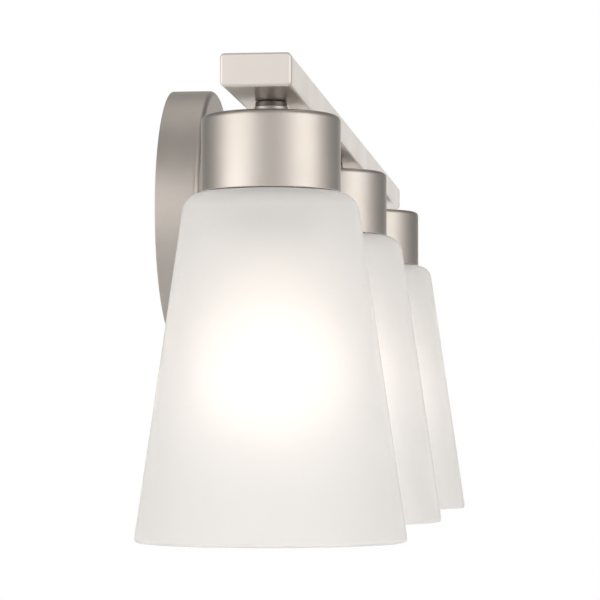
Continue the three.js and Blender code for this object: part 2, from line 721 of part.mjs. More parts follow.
buildStrap();
strapScrew("box_screw_left", -boxSpread / 2, 0, zincSteel);
strapScrew("box_screw_right", boxSpread / 2, 0, zincSteel);
strapScrew("ground_screw", groundScrewX, groundScrewZ, greenPaint);
buildCanopy();
buildCanopyFastener("left", -STUD_SPREAD / 2);
buildCanopyFastener("right", STUD_SPREAD / 2);
buildArm();
buildBar();
lampXs.forEach((x, i) => buildLamp(i + 1, x));
buildHarness("hot", -1, hotRunZ, partitionTop + 4, blackInsulation);
buildHarness("neutral", 1, neutralRunZ, partitionTop + 8, whiteInsulation);
buildGroundLead();
buildSplice("hot", splices.hot, orangePlastic);
buildSplice("neutral", splices.neutral, orangePlastic);
buildSplice("ground", splices.ground, greenPlastic);

export default part;
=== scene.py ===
# %% [markdown]
# # A three-light vanity bar
#
# This lesson dresses an exact model of a bathroom wall light. The model comes with its
# bodies, joints and sizes, and Blender adds the looks: filleted edges, screw threads,
# knurls, etched glass and satin nickel. Lengths are in metres. +X runs along the bar, +Y
# points into the wall, +Z is up, and the origin is on the wall behind the canopy.
#
# The order is: frame, camera and light, helpers, finishes, then each piece from the wall
# outwards.

# %% Load the frame
import json
import math
from collections import namedtuple
from functools import partial

import bmesh
import bpy
from mathutils import Matrix, Vector


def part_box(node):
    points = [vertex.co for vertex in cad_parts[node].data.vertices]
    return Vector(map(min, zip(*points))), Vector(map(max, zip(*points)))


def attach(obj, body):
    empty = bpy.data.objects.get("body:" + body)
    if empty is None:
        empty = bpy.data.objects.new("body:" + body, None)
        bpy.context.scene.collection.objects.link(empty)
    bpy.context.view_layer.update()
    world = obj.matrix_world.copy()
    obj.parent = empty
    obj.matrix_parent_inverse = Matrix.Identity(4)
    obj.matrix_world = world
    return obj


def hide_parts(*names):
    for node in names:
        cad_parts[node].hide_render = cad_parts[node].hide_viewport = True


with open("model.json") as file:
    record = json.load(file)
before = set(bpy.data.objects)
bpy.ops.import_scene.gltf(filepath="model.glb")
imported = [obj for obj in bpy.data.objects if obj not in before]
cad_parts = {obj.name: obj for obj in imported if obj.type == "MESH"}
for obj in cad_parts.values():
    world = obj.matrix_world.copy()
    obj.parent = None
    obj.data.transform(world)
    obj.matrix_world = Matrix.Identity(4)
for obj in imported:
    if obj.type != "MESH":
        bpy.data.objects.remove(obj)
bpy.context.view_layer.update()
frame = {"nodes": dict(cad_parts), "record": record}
MM = 0.001
MICRON = 0.000001
scene = bpy.context.scene
record = frame["record"]
body_of = {node: body for body, nodes in record["behaviour"]["bodies"].items() for node in nodes}
slot_of = {row["node"]: row["material_slot"] for row in record["subparts"]}
lamp_numbers = sorted(int(n.rsplit("_", 1)[1]) for n in body_of if n.startswith("socket_cup_"))

# %% [markdown]
# ## Reading sizes off the frame
#
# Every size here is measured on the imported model, so that a longer bar or a wider cup
# carries through. Most pieces are round, and the middle, the ends and the width of each
# one are all that the lathe needs later.

# %% Spans of the CAD nodes
Span = namedtuple("Span", "middle low high size")


def span(node):
    """A node's middle, lowest corner, highest corner and size."""
    low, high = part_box(node)
    return Span((low + high) / 2, low, high, high - low)


first = lamp_numbers[0]
lamp_axis = {n: span(f"socket_cup_{n}").middle.xy for n in lamp_numbers}
bar_span = span("bar_tube")
cup_radius = span(f"socket_cup_{first}").size.x / 2
print(f"bar {bar_span.size.x / MM:.0f} mm, cups {2 * cup_radius / MM:.0f} mm across")

# %% [markdown]
# ## Camera
#
# The fixture is seen along its bar from the left end, a little to the front of it and from
# just below, with a long lens, so the three shades line up behind each other. The camera
# is set first, because the light is built around the line of sight.

# %% Camera
SIGHT_YAW = math.radians(6.461)
SIGHT_RISE = math.radians(2.879)
sight = Vector((
    math.cos(SIGHT_YAW) * math.cos(SIGHT_RISE),
    math.sin(SIGHT_YAW) * math.cos(SIGHT_RISE),
    math.sin(SIGHT_RISE),
))
camera = bpy.data.objects.new("camera", bpy.data.cameras.new("camera"))
camera.data.sensor_width = 36
camera.data.lens = 155.02
camera.data.clip_start = 0.05
camera.location = (-1.3677, -0.2221, -0.1139)
camera.rotation_euler = sight.to_track_quat("-Z", "Y").to_euler()
scene.collection.objects.link(camera)
scene.camera = camera
scene.view_settings.view_transform = "Standard"
print(f"camera {camera.location.length:.2f} m away with a {camera.data.lens:.0f} mm lens")

# %% [markdown]
# ## A short way to write node trees
#
# Light, shaders and geometry are all built from nodes. One helper adds a node, sets its
# properties and fills its inputs with values or with another node's output, so each tree
# below reads from its source to its end.

# %% Node helpers
def fill(tree, made, values):
    """Fills a node's inputs, by name or place, with values or with other nodes' outputs."""
    for key, value in values.items():
        if isinstance(value, bpy.types.NodeSocket):
            tree.links.new(value, made.inputs[key])
        else:
            made.inputs[key].default_value = value


def node(tree, kind, inputs=None, **settings):
    """A node of that kind, with its settings and inputs."""
    made = tree.nodes.new(kind)
    for key, value in settings.items():
        setattr(made, key, value)
    fill(tree, made, inputs or {})
    return made


def math_node(tree, operation, *values):
    return node(tree, "ShaderNodeMath", dict(enumerate(values)), operation=operation).outputs[0]


def new_group(name, kind, inputs, output):
    """A node group. inputs are (name, socket type, default), output is (name, socket type)."""
    tree = bpy.data.node_groups.new(name, kind)
    for label, socket, default in inputs:
        made = tree.interface.new_socket(label, in_out="INPUT", socket_type=socket)
        if default is not None:
            made.default_value = default
    tree.interface.new_socket(output[0], in_out="OUTPUT", socket_type=output[1])
    return tree, tree.nodes.new("NodeGroupInput").outputs, tree.nodes.new("NodeGroupOutput").inputs


print("node helpers ready")

# %% [markdown]
# ## Studio light
#
# Satin nickel shows nothing but its surroundings. Two tall soft boxes stand either side
# of the camera, so each round cup carries two upright bright bands with a darker gap
# between them and darker edges. The backdrop that the camera sees is white. The room that
# lights the metal and mirrors in it is a cove: bright behind the fixture and behind the
# camera, dark at the sides, and fading towards the ceiling. The Light Path node tells the
# two apart.

# %% Soft boxes
WARM_WHITE = (1.0, 0.968, 0.935)
UPRIGHT = Vector((0, 0, 1))
stage_middle = Vector((0, lamp_axis[first].y, -0.05))


def soft_box(name, turn, rise, distance, width, height, watts):
    """A soft box, turned about the upright from the direction back to the camera."""
    data = bpy.data.lights.new(name, "AREA")
    data.shape = "RECTANGLE"
    data.size, data.size_y = width, height
    data.energy = watts
    data.color = WARM_WHITE
    light = bpy.data.objects.new(name, data)
    to_camera = Vector((-sight.x, -sight.y, 0)).normalized()
    level = Matrix.Rotation(math.radians(turn), 3, "Z") @ to_camera
    rise = math.radians(rise)
    light.location = stage_middle + distance * (level * math.cos(rise) + UPRIGHT * math.sin(rise))
    light.rotation_euler = (stage_middle - light.location).to_track_quat("-Z", "Z").to_euler()
    scene.collection.objects.link(light)


# turn and rise in degrees, distance, width and height in metres, watts
SOFT_BOXES = {
    "soft_box_left": (-52, 6, 2.1, 1.5, 2.2, 16),
    "soft_box_right": (52, 6, 2.1, 1.5, 2.2, 16),
    "soft_box_top": (180, 78, 1.9, 1.6, 1.6, 5),
}
for name, values in SOFT_BOXES.items():
    soft_box(name, *values)
print(f"{len(SOFT_BOXES)} soft boxes")

# %% World and floor
# place on the way from the camera's side (0) to the far side of the fixture (1), grey level
COVE_STOPS = ((0.0, 0.56), (0.45, 0.56), (0.56, 0.15), (0.92, 0.16), (0.975, 1.3), (1.0, 1.5))
# the direction's height from and to, and the strength from and to
CEILING_FADE = (0.25, 0.75, 1.0, 0.35)
FLOOR_DEPTH = 3.0
FLOOR_REACH = 12.0

world = bpy.data.worlds.new("studio")
scene.world = world
world.use_nodes = True
world.node_tree.nodes.clear()
sky = partial(node, world.node_tree)
direction = sky("ShaderNodeTexCoord").outputs["Generated"]
towards = sky("ShaderNodeVectorMath", {0: direction, 1: sight}, operation="DOT_PRODUCT")
along_sight = sky("ShaderNodeMapRange", {0: towards.outputs["Value"], "From Min": -1})
cove = sky("ShaderNodeValToRGB", {0: along_sight.outputs[0]})
for place, (stop, grey) in enumerate(COVE_STOPS):
    ramp = cove.color_ramp.elements
    element = ramp[place] if place < 2 else ramp.new(stop)
    element.position = stop
    element.color = (*(grey * channel for channel in WARM_WHITE), 1)
height = sky("ShaderNodeSeparateXYZ", {0: direction}).outputs[2]
ceiling = sky("ShaderNodeMapRange", {0: height, **dict(enumerate(CEILING_FADE, 1))})
room = sky("ShaderNodeBackground", {"Color": cove.outputs[0], "Strength": ceiling.outputs[0]})
backdrop = sky("ShaderNodeBackground", {"Color": (1, 1, 1, 1)})
seen_directly = sky("ShaderNodeLightPath").outputs["Is Camera Ray"]
shown = {0: seen_directly, 1: room.outputs[0], 2: backdrop.outputs[0]}
chosen = sky("ShaderNodeMixShader", shown)
sky("ShaderNodeOutputWorld", {"Surface": chosen.outputs[0]})

floor_mesh = bpy.data.meshes.new("floor")
square = ((-1, -1), (1, -1), (1, 1), (-1, 1))
floor_corners = [(x * FLOOR_REACH, y * FLOOR_REACH, -FLOOR_DEPTH) for x, y in square]
floor_mesh.from_pydata(floor_corners, [], [(0, 1, 2, 3)])
floor = bpy.data.objects.new("floor", floor_mesh)
scene.collection.objects.link(floor)
print("a cove, a white backdrop and a floor")

# %% [markdown]
# ## Effects that several finishes share
#
# Real surfaces are never one flat colour. Plating is a little cloudy, a handled piece has
# smudges that change its gloss, brushing leaves fine parallel lines, and etched glass and
# moulded plastic have a tiny pebble. Each effect is a node group, built once and then
# placed in each finish with its own values.

# %% Shared shader groups
FLOAT, VECTOR, COLOR = "NodeSocketFloat", "NodeSocketVector", "NodeSocketColor"


def noise(tree, vector, scale, **more):
    inputs = {"Vector": vector, "Scale": scale, **more}
    return node(tree, "ShaderNodeTexNoise", inputs).outputs["Fac"]


def relief(tree, height, depth, distance):
    """A normal from a height: fine relief without any shape behind it."""
    inputs = {"Strength": depth, "Distance": distance, "Height": height}
    return node(tree, "ShaderNodeBump", inputs).outputs[0]


def blended(tree, share, zero, one):
    """A colour between two others."""
    inputs = {0: share, 6: zero, 7: one}
    return node(tree, "ShaderNodeMix", inputs, data_type="RGBA").outputs[2]


def cloud_group():
    """A base colour that drifts between a lighter and a darker tone."""
    tree, given, out = new_group("cloudy tone", "ShaderNodeTree", [
        ("Vector", VECTOR, None), ("Light", COLOR, (1, 1, 1, 1)), ("Dark", COLOR, (0, 0, 0, 1)),
        ("Scale", FLOAT, 40.0),
    ], ("Color", COLOR))
    broad = noise(tree, given["Vector"], given["Scale"], Detail=4.0, Roughness=0.6)
    soft = node(tree, "ShaderNodeMapRange", {0: broad, 1: 0.3, 2: 0.7}).outputs[0]
    tree.links.new(blended(tree, soft, given["Dark"], given["Light"]), out[0])
    return tree


def handling_group():
    """Roughness that wanders round its middle value, as handling and polishing leave it."""
    tree, given, out = new_group("handled gloss", "ShaderNodeTree", [
        ("Vector", VECTOR, None), ("Middle", FLOAT, 0.4), ("Spread", FLOAT, 0.05),
        ("Scale", FLOAT, 30.0),
    ], ("Roughness", FLOAT))
    smudge = noise(tree, given["Vector"], given["Scale"], Detail=5.0, Distortion=0.6)
    centred = math_node(tree, "SUBTRACT", smudge, 0.5)
    scaled = math_node(tree, "MULTIPLY", centred, given["Spread"])
    tree.links.new(math_node(tree, "MULTIPLY_ADD", scaled, 4.0, given["Middle"]), out[0])
    return tree


def grain_group():
    """Fine parallel brushing: noise squeezed along one direction by the Stretch vector."""
    tree, given, out = new_group("brushed grain", "ShaderNodeTree", [
        ("Vector", VECTOR, None), ("Stretch", VECTOR, (8, 8, 900)), ("Depth", FLOAT, 0.2),
    ], ("Normal", VECTOR))
    inputs = {0: given["Vector"], 1: given["Stretch"]}
    squeezed = node(tree, "ShaderNodeVectorMath", inputs, operation="MULTIPLY").outputs[0]
    lines = noise(tree, squeezed, 4.0, Detail=3.0, Roughness=0.7)
    tree.links.new(relief(tree, lines, given["Depth"], 20 * MICRON), out[0])
    return tree


def pebble_group():
    """A fine even pebble, for etched glass, castings and mouldings."""
    tree, given, out = new_group("fine pebble", "ShaderNodeTree", [
        ("Vector", VECTOR, None), ("Scale", FLOAT, 1500.0), ("Depth", FLOAT, 0.2),
    ], ("Normal", VECTOR))
    grains = noise(tree, given["Vector"], given["Scale"], Detail=2.0)
    tree.links.new(relief(tree, grains, given["Depth"], 60 * MICRON), out[0])
    return tree


cloudy_tone, handled_gloss = cloud_group(), handling_group()
brushed_grain, fine_pebble = grain_group(), pebble_group()
print("shared groups:", ", ".join(g.name for g in bpy.data.node_groups))

# %% [markdown]
# ## Finishes
#
# Every finish starts the same way: Object coordinates, a cloudy base colour and a handled
# gloss. Brushed metals then add fine lines, and the other metals, plastics and glass a
# pebble. Values that are the same everywhere, such as how metallic the nickel is, stay on
# the shader's own sockets.

# %% Finish helper
def finish(name, light, dark, gloss, spread, clouds=40.0, grain=None, pebble=None, **shader):
    """A material. grain is (stretch vector, depth), pebble is (scale, depth)."""
    material = bpy.data.materials.new(name)
    material.use_nodes = True
    tree = material.node_tree
    surface = tree.nodes["Principled BSDF"]
    place = node(tree, "ShaderNodeTexCoord").outputs["Object"]
    tones = {"Light": (*light, 1), "Dark": (*dark, 1), "Scale": clouds}
    effects = [
        ("Base Color", cloudy_tone, tones),
        ("Roughness", handled_gloss, {"Middle": gloss, "Spread": spread}),
    ]
    if grain:
        effects.append(("Normal", brushed_grain, {"Stretch": grain[0], "Depth": grain[1]}))
    if pebble:
        effects.append(("Normal", fine_pebble, {"Scale": pebble[0], "Depth": pebble[1]}))
    for socket, group, values in effects:
        effect = node(tree, "ShaderNodeGroup", {"Vector": place, **values}, node_tree=group)
        tree.links.new(effect.outputs[0], surface.inputs[socket])
    for key, value in shader.items():
        label = key.replace("_", " ").title().replace("Ior", "IOR")
        surface.inputs[label].default_value = value
    return material


# %% Nickel, and the finishes of the smaller pieces
NICKEL = {"light": (0.715, 0.675, 0.635), "dark": (0.67, 0.63, 0.59), "gloss": 0.5}
# painted light: the end plugs' nickel is a lighter copy of the tube's, for their brightly lit end
# faces
PAINTED_LIGHT_NICKEL = {"light": (0.97, 0.93, 0.89), "dark": (0.94, 0.90, 0.86), "gloss": 0.6}


def satin(name, stretch, depth=0.25, **changes):
    """Brushed satin nickel, whose lines run along the shortest stretch."""
    values = {**NICKEL, **changes}
    grain = (stretch, depth)
    return finish(f"satin nickel, {name}", spread=0.02, grain=grain, metallic=1.0, **values)


nickel_bar = satin("brushed lengthways", (8, 700, 700), gloss=0.32)
nickel_turned = satin("brushed round", (10, 10, 700))
nickel_ends_painted_light = satin("flat faces", (300, 300, 300), 0.2, **PAINTED_LIGHT_NICKEL)
nickel_collar_painted_shade = satin("collar", (10, 10, 700))
nickel_canopy = satin("spun", (10, 700, 10))

# slot: name, light and dark tone, gloss and its spread, cloud scale, pebble scale and
# depth, metallic
COATINGS = {
    "zinc_steel": ("bright zinc plate", (0.66, 0.67, 0.68), (0.50, 0.52, 0.55),
                   0.36, 0.05, 90, 900, 0.25, 1.0),
    "green_screw": ("green lacquer", (0.05, 0.22, 0.08), (0.03, 0.16, 0.06),
                    0.35, 0.04, 40, 700, 0.2, 0.3),
    "socket_brass": ("bright brass", (0.80, 0.60, 0.28), (0.66, 0.46, 0.20),
                     0.28, 0.05, 120, 800, 0.15, 1.0),
    "lamp_cap_metal": ("nickel-plated cap", (0.78, 0.78, 0.77), (0.66, 0.66, 0.66),
                       0.3, 0.05, 120, 900, 0.2, 1.0),
    "black_phenolic": ("black phenolic", (0.028, 0.026, 0.024), (0.015, 0.014, 0.013),
                       0.42, 0.06, 300, 1200, 0.3, 0.0),
    "black_insulation": ("black insulation", (0.03, 0.03, 0.033), (0.018, 0.018, 0.02),
                         0.45, 0.05, 40, 1500, 0.2, 0.0),
    "white_insulation": ("white insulation", (0.80, 0.79, 0.75), (0.70, 0.69, 0.65),
                         0.45, 0.05, 40, 1500, 0.2, 0.0),
    "orange_plastic": ("orange moulding", (0.80, 0.26, 0.03), (0.68, 0.20, 0.02),
                       0.38, 0.05, 150, 1100, 0.2, 0.0),
    "green_plastic": ("green moulding", (0.06, 0.33, 0.10), (0.04, 0.25, 0.07),
                      0.38, 0.05, 150, 1100, 0.2, 0.0),
}
FINISH = {"satin_nickel": nickel_turned}
for slot, (*tones_and_gloss, grains, depth, metallic) in COATINGS.items():
    FINISH[slot] = finish(*tones_and_gloss, pebble=(grains, depth), metallic=metallic)
FINISH["bare_copper"] = finish(
    "bare copper", (0.80, 0.42, 0.26), (0.55, 0.26, 0.15), 0.34, 0.06, 200,
    grain=((300, 300, 20), 0.2), metallic=1.0)
floor_paint = finish(
    "pale floor", (0.86, 0.86, 0.85), (0.83, 0.83, 0.82), 0.7, 0.03, 2,
    emission_color=(1, 1, 1, 1), emission_strength=0.25)
floor.data.materials.append(floor_paint)
print(f"{len(bpy.data.materials)} materials")

# %% [markdown]
# ## Etched glass and the lit lamp
#
# The shades are clear-edged white glass with an acid-etched skin. Light from the lamp is
# scattered forwards by both skins, so the lamp shows as a soft warm glow without an
# outline. A very rough glass that transmits only part of the light does this, and the
# part that isn't transmitted gives the milky body. Light also bounces many times inside
# real etched glass, and a faint even glow of the glass itself stands for that. The lamp's
# own glass is the light source: its glow is strongest round the belly and fades up the
# neck.

# %% Glass finishes
FINISH["etched_glass"] = finish(
    "etched white glass", (0.97, 0.968, 0.962), (0.95, 0.948, 0.942), 0.85, 0.02, 18,
    pebble=(2600, 0.12), transmission_weight=0.55, ior=1.45, specular_ior_level=0.35,
    emission_color=(1.0, 0.98, 0.97, 1), emission_strength=0.064)

BELLY_GLOW, NECK_GLOW = (1.0, 0.88, 0.80, 1), (0.2, 0.15, 0.11, 1)
lamp_foot = span(f"bulb_envelope_{first}").low.z
lit_glass = FINISH["lamp_glass"] = finish(
    "lit frosted glass", (0.98, 0.96, 0.92), (0.96, 0.94, 0.90), 0.5, 0.02, 60,
    pebble=(2200, 0.15), emission_strength=1.4)


def height_share(tree, zero_at, one_at, **settings):
    """How far a point has come between two heights, from 0 to 1."""
    place = node(tree, "ShaderNodeTexCoord").outputs["Object"]
    height = node(tree, "ShaderNodeSeparateXYZ", {0: place}).outputs[2]
    inputs = {0: height, 1: zero_at, 2: one_at}
    return node(tree, "ShaderNodeMapRange", inputs, **settings).outputs[0]


glow_tree = lit_glass.node_tree
lit_share = height_share(
    glow_tree, lamp_foot + 95 * MM, lamp_foot + 12 * MM, interpolation_type="SMOOTHSTEP")
glow = blended(glow_tree, lit_share, NECK_GLOW, BELLY_GLOW)
glow_tree.links.new(glow, glow_tree.nodes["Principled BSDF"].inputs["Emission Color"])
print("etched glass and lit glass ready")

# %% [markdown]
# ## From a shape to a finished piece
#
# Each new piece stands for one CAD node, rides on that node's body and takes its finish
# from that node's slot. Smooth shading with sharp edges kept by angle, and weighted
# normals, keep flats flat beside small fillets.

# %% Shape helpers
KEEP_SHARP = math.radians(32)
MERGE = 1e-7


def linked(name, points, edges, faces):
    """A mesh object in the scene."""
    mesh = bpy.data.meshes.new(name)
    mesh.from_pydata([tuple(p) for p in points], edges, faces)
    piece = bpy.data.objects.new(name, mesh)
    scene.collection.objects.link(piece)
    return piece


def face_outwards(piece):
    """Merges doubles and turns the whole shell round if its volume comes out negative."""
    shell = bmesh.new()
    shell.from_mesh(piece.data)
    bmesh.ops.remove_doubles(shell, verts=shell.verts, dist=MERGE)
    bmesh.ops.recalc_face_normals(shell, faces=shell.faces)
    if shell.calc_volume(signed=True) < 0:
        bmesh.ops.reverse_faces(shell, faces=shell.faces)
    shell.to_mesh(piece.data)
    shell.free()
    return piece


def complete(piece, *nodes, material=None):
    """Shades a piece, gives it its finish and lets it stand for its CAD nodes."""
    piece.data.shade_smooth()
    piece.data.set_sharp_from_angle(angle=KEEP_SHARP)
    weighted = piece.modifiers.new("flats stay flat", "WEIGHTED_NORMAL")
    weighted.keep_sharp = True
    slot = slot_of[nodes[0]]
    piece.data.materials.clear()
    piece.data.materials.append(material or FINISH[slot])
    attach(piece, body_of[nodes[0]])
    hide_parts(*nodes)
    return piece


def skin(name, rings, points, closed=True):
    """A closed shell over rings of point numbers; a ring of one point is a tip on the axis."""
    faces = []
    for ring, following in zip(rings, rings[1:] + rings[:1] if closed else rings[1:]):
        for side in range(max(len(ring), len(following))):
            a, b = side, side + 1
            corners = [ring[a % len(ring)], ring[b % len(ring)]]
            corners += [following[b % len(following)], following[a % len(following)]]
            corners = list(dict.fromkeys(corners))
            if len(corners) > 2:
                faces.append(corners)
    if not closed:
        faces += [list(rings[0]), list(reversed(rings[-1]))]
    return face_outwards(linked(name, points, [], faces))


def ringed(name, rows, axis, upright=True, sides=96):
    """A shell round an axis, from (radius, place along the axis) rows.

    A radius is a number, or a rule that gives one for each angle. An upright axis stands
    at (x, y), and one along Y lies at (x, z).
    """
    points, rings = [], []
    for radius, along in rows:
        tip = not callable(radius) and radius < MERGE
        rings.append(range(len(points), len(points) + (1 if tip else sides)))
        for side in range(len(rings[-1])):
            turn = 2 * math.pi * side / sides
            out = radius(turn) if callable(radius) else radius
            a, b = axis[0] + out * math.cos(turn), axis[1] + out * math.sin(turn)
            points.append((a, b, along) if upright else (a, along, b))
    return skin(name, rings, points)


def rounded(corners, steps=5):
    """Outline points from (across, along, fillet radius) corners. A radius of 0 stays sharp."""
    outline = []
    for index, (across, along, radius) in enumerate(corners):
        here = Vector((across, along))
        if radius == 0:
            outline.append(here)
            continue
        before = (Vector(corners[index - 1][:2]) - here).normalized()
        after = (Vector(corners[(index + 1) % len(corners)][:2]) - here).normalized()
        half = before.angle(after) / 2
        centre = here + (before + after).normalized() * radius / math.sin(half)
        start = here + before * radius / math.tan(half) - centre
        end = here + after * radius / math.tan(half) - centre
        sweep = start.angle_signed(end) / steps
        outline += [centre + Matrix.Rotation(-sweep * step, 2) @ start for step in range(steps + 1)]
    return outline


def turned(name, corners, axis, steps=4, **shape):
    """A lathe piece, from (radius, place along the axis, fillet radius) corners."""
    return ringed(name, rounded(corners, steps), axis, **shape)


def rod(name, radius, low, high, axis):
    """A plain round tool along Y."""
    corners = [(0, low, 0), (radius, low, 0), (radius, high, 0), (0, high, 0)]
    return turned(name, corners, axis, upright=False, sides=48)


def stacked(name, layers, to_place, closed=False):
    """A shell over (outline, place) layers with as many points in each outline."""
    count = len(layers[0][0])
    points = [to_place(p, along) for outline, along in layers for p in outline]
    rings = [range(start, start + count) for start in range(0, len(points), count)]
    return skin(name, rings, points, closed)


def box_outline(width, height, radius, steps, middle):
    x, y = width / 2, height / 2
    corners = [(-x, -y, radius), (x, -y, radius), (x, y, radius), (-x, y, radius)]
    return [p + Vector(middle) for p in rounded(corners, steps)]


def made_real(piece, modifier):
    """Turns a modifier into the piece's own mesh."""
    bpy.context.view_layer.update()
    evaluated = piece.evaluated_get(bpy.context.evaluated_depsgraph_get())
    result = bpy.data.meshes.new_from_object(evaluated)
    piece.modifiers.remove(modifier)
    piece.data = result
    return piece


def drilled(piece, *tools):
    """Cuts the tools out of a piece and throws them away."""
    for tool in tools:
        cutter = piece.modifiers.new("cut", "BOOLEAN")
        cutter.operation, cutter.solver, cutter.object = "DIFFERENCE", "EXACT", tool
        made_real(piece, cutter)
        bpy.data.objects.remove(tool)
    return piece


def chamfered(piece, width):
    """Breaks the sharp edges of a piece."""
    edge = piece.modifiers.new("broken edges", "BEVEL")
    edge.width, edge.segments = width, 2
    edge.limit_method, edge.angle_limit = "ANGLE", KEEP_SHARP
    return made_real(piece, edge)


print("lathe, stack, drill and chamfer ready")

# %% [markdown]
# ## Canopy
#
# The wall canopy is a shallow spun pan: a flat face, a rolled front edge and a straight
# rim that meets the wall. It is one closed outline on the lathe, wall and all, and then
# drilled for the two studs and the arm's nipple.

# %% Canopy
STEEL_WALL = 1.2 * MM
FRONT_EDGE = 3 * MM
RIM_EDGE = 0.35 * MM
RUNNING_GAP = 0.3 * MM
DRILL_REACH = 5 * MM
pan = span("canopy")
stud = span("stud_right")
nipple = span("arm_nipple")
radius, front, back = pan.size.x / 2, pan.low.y, pan.high.y
canopy = turned("wall_canopy", [
    (0, front, 0), (radius, front, FRONT_EDGE), (radius, back, RIM_EDGE),
    (radius - STEEL_WALL, back, RIM_EDGE),
    (radius - STEEL_WALL, front + STEEL_WALL, FRONT_EDGE - STEEL_WALL),
    (0, front + STEEL_WALL, 0),
], (0, 0), 8, upright=False, sides=160)
stud_hole = stud.size.x / 2 + RUNNING_GAP
pipe_hole = nipple.size.x / 2 + RUNNING_GAP
holes = [
    (stud_hole, stud.middle.x, 0), (stud_hole, -stud.middle.x, 0), (pipe_hole, 0, nipple.middle.z),
]
drilled(canopy, *[
    rod("drill", hole, front - DRILL_REACH, front + DRILL_REACH, place) for hole, *place in holes
])
complete(canopy, "canopy", material=nickel_canopy)
print(f"canopy {len(canopy.data.polygons)} faces")

# %% [markdown]
# ## Bar and its end plugs
#
# The bar is a rectangular tube with small outside radii. Each end is closed by a plug
# whose plate has the same outline and a softly rounded rim, with a hairline joint where
# it meets the tube.

# %% Bar
BAR_EDGE = 2 * MM
SMALL_EDGE = 0.4 * MM
bar_centre = (bar_span.middle.y, bar_span.middle.z)


def bar_outline(inset, edge):
    """The bar's section, drawn in by inset."""
    width, height = bar_span.size.y - 2 * inset, bar_span.size.z - 2 * inset
    return box_outline(width, height, edge, 6, bar_centre)


def along_bar(point, along):
    return (along, *point)


outside, inside = bar_outline(0, BAR_EDGE), bar_outline(STEEL_WALL, BAR_EDGE - STEEL_WALL)
ends = bar_span.low.x, bar_span.high.x
layers = [(outside, ends[0]), (outside, ends[1]), (inside, ends[1]), (inside, ends[0])]
bar = stacked("bar_tube_polished", layers, along_bar, closed=True)
socket_nipple = span(f"socket_nipple_{first}")
socket_hole = socket_nipple.size.x / 2 + RUNNING_GAP
below, behind = bar_span.low.z, bar_span.high.y
drop_corners = [(0, below - MM, 0), (socket_hole, below - MM, 0), (socket_hole, below + 3 * MM, 0),
                (0, below + 3 * MM, 0)]
drilled(
    bar, *[turned("drill", drop_corners, lamp_axis[n], sides=48) for n in lamp_numbers],
    rod("drill", pipe_hole, behind - 3 * MM, behind + MM, (0, bar_span.middle.z)),
)
complete(bar, "bar_tube", material=nickel_bar)

RIM = 1.1 * MM
RIM_STEPS = 5
HAIRLINE = 0.15 * MM
# the plugs take the lighter nickel: painted light on the end faces
for plug_name, outward in (("bar_end_left", -1), ("bar_end_right", 1)):
    plug = span(plug_name)
    tip, root = (plug.low.x, plug.high.x) if outward < 0 else (plug.high.x, plug.low.x)
    plate_back = (ends[0] if outward < 0 else ends[1]) + outward * RUNNING_GAP
    rim_turns = [math.pi / 2 * step / RIM_STEPS for step in range(RIM_STEPS + 1)]
    layers = [(RIM * (1 - math.sin(t)), tip - outward * RIM * (1 - math.cos(t))) for t in rim_turns]
    layers += [(0, plate_back + outward * HAIRLINE), (HAIRLINE, plate_back)]
    layers = [(bar_outline(inset, max(BAR_EDGE - inset, SMALL_EDGE)), x) for inset, x in layers]
    inner = bar_outline(STEEL_WALL + RUNNING_GAP, 0.5 * MM)
    layers += [(inner, plate_back), (inner, root)]
    complete(stacked(plug_name + "_polished", layers, along_bar), plug_name, material=nickel_ends_painted_light)
print(f"bar {len(bar.data.polygons)} faces and two end plugs")

# %% [markdown]
# ## Arm and neck collars
#
# A plain round arm carries the bar, and a short collar under the bar carries each cup.
# The collar has a slightly wider foot in plain nickel, and above the foot its colour is
# painted dark: painted shade for the bar's shadow on the upper collar. Both ends of every
# turned part are broken.

# %% Arm and collars
ARM_WALL = 1.5 * MM
BREAK = 0.3 * MM
FINE_BREAK = 0.15 * MM
arm = span("arm_tube")
radius, arm_bore = arm.size.x / 2, arm.size.x / 2 - ARM_WALL
complete(turned("arm_tube_polished", [
    (radius, arm.low.y, BREAK), (radius, arm.high.y, BREAK),
    (arm_bore, arm.high.y, BREAK), (arm_bore, arm.low.y, BREAK),
], (0, arm.middle.z), 3, upright=False), "arm_tube", material=nickel_canopy)

COLLAR_FOOT = 3.8 * MM
COLLAR_WAIST_IN = 0.4 * MM
# painted shade: above the foot the collar's colour is darkened for the bar's shadow
PAINTED_SHADE_COLOR = (0.24, 0.22, 0.20, 1)
foot_top = span(f"neck_collar_{first}").low.z + COLLAR_FOOT
collar_tree = nickel_collar_painted_shade.node_tree
collar_tone = collar_tree.nodes["Principled BSDF"].inputs["Base Color"]
# the painted shade starts at the top of the foot
painted_shade_share = height_share(collar_tree, foot_top, foot_top + 0.1 * MM)
nickel_with_painted_shade = blended(collar_tree, painted_shade_share, collar_tone.links[0].from_socket, PAINTED_SHADE_COLOR)
collar_tree.links.new(nickel_with_painted_shade, collar_tone)
for n in lamp_numbers:
    collar = span(f"neck_collar_{n}")
    foot, top, radius = collar.low.z, collar.high.z, collar.size.x / 2
    waist = radius - COLLAR_WAIST_IN
    complete(turned(f"neck_collar_polished_{n}", [
        (socket_hole, foot, BREAK), (radius, foot, BREAK), (radius, foot + COLLAR_FOOT, BREAK),
        (waist, foot + COLLAR_FOOT, FINE_BREAK), (waist, top, BREAK), (socket_hole, top, BREAK),
    ], lamp_axis[n]), f"neck_collar_{n}", material=nickel_collar_painted_shade)
print("arm and", len(lamp_numbers), "collars")

# %% [markdown]
# ## Socket cups
#
# A cup is spun from thin plate: a flat top with a hole for the nipple, a tight radius and
# a straight side. Its open rim is turned slightly, so the outline closes on itself with
# two small fillets.

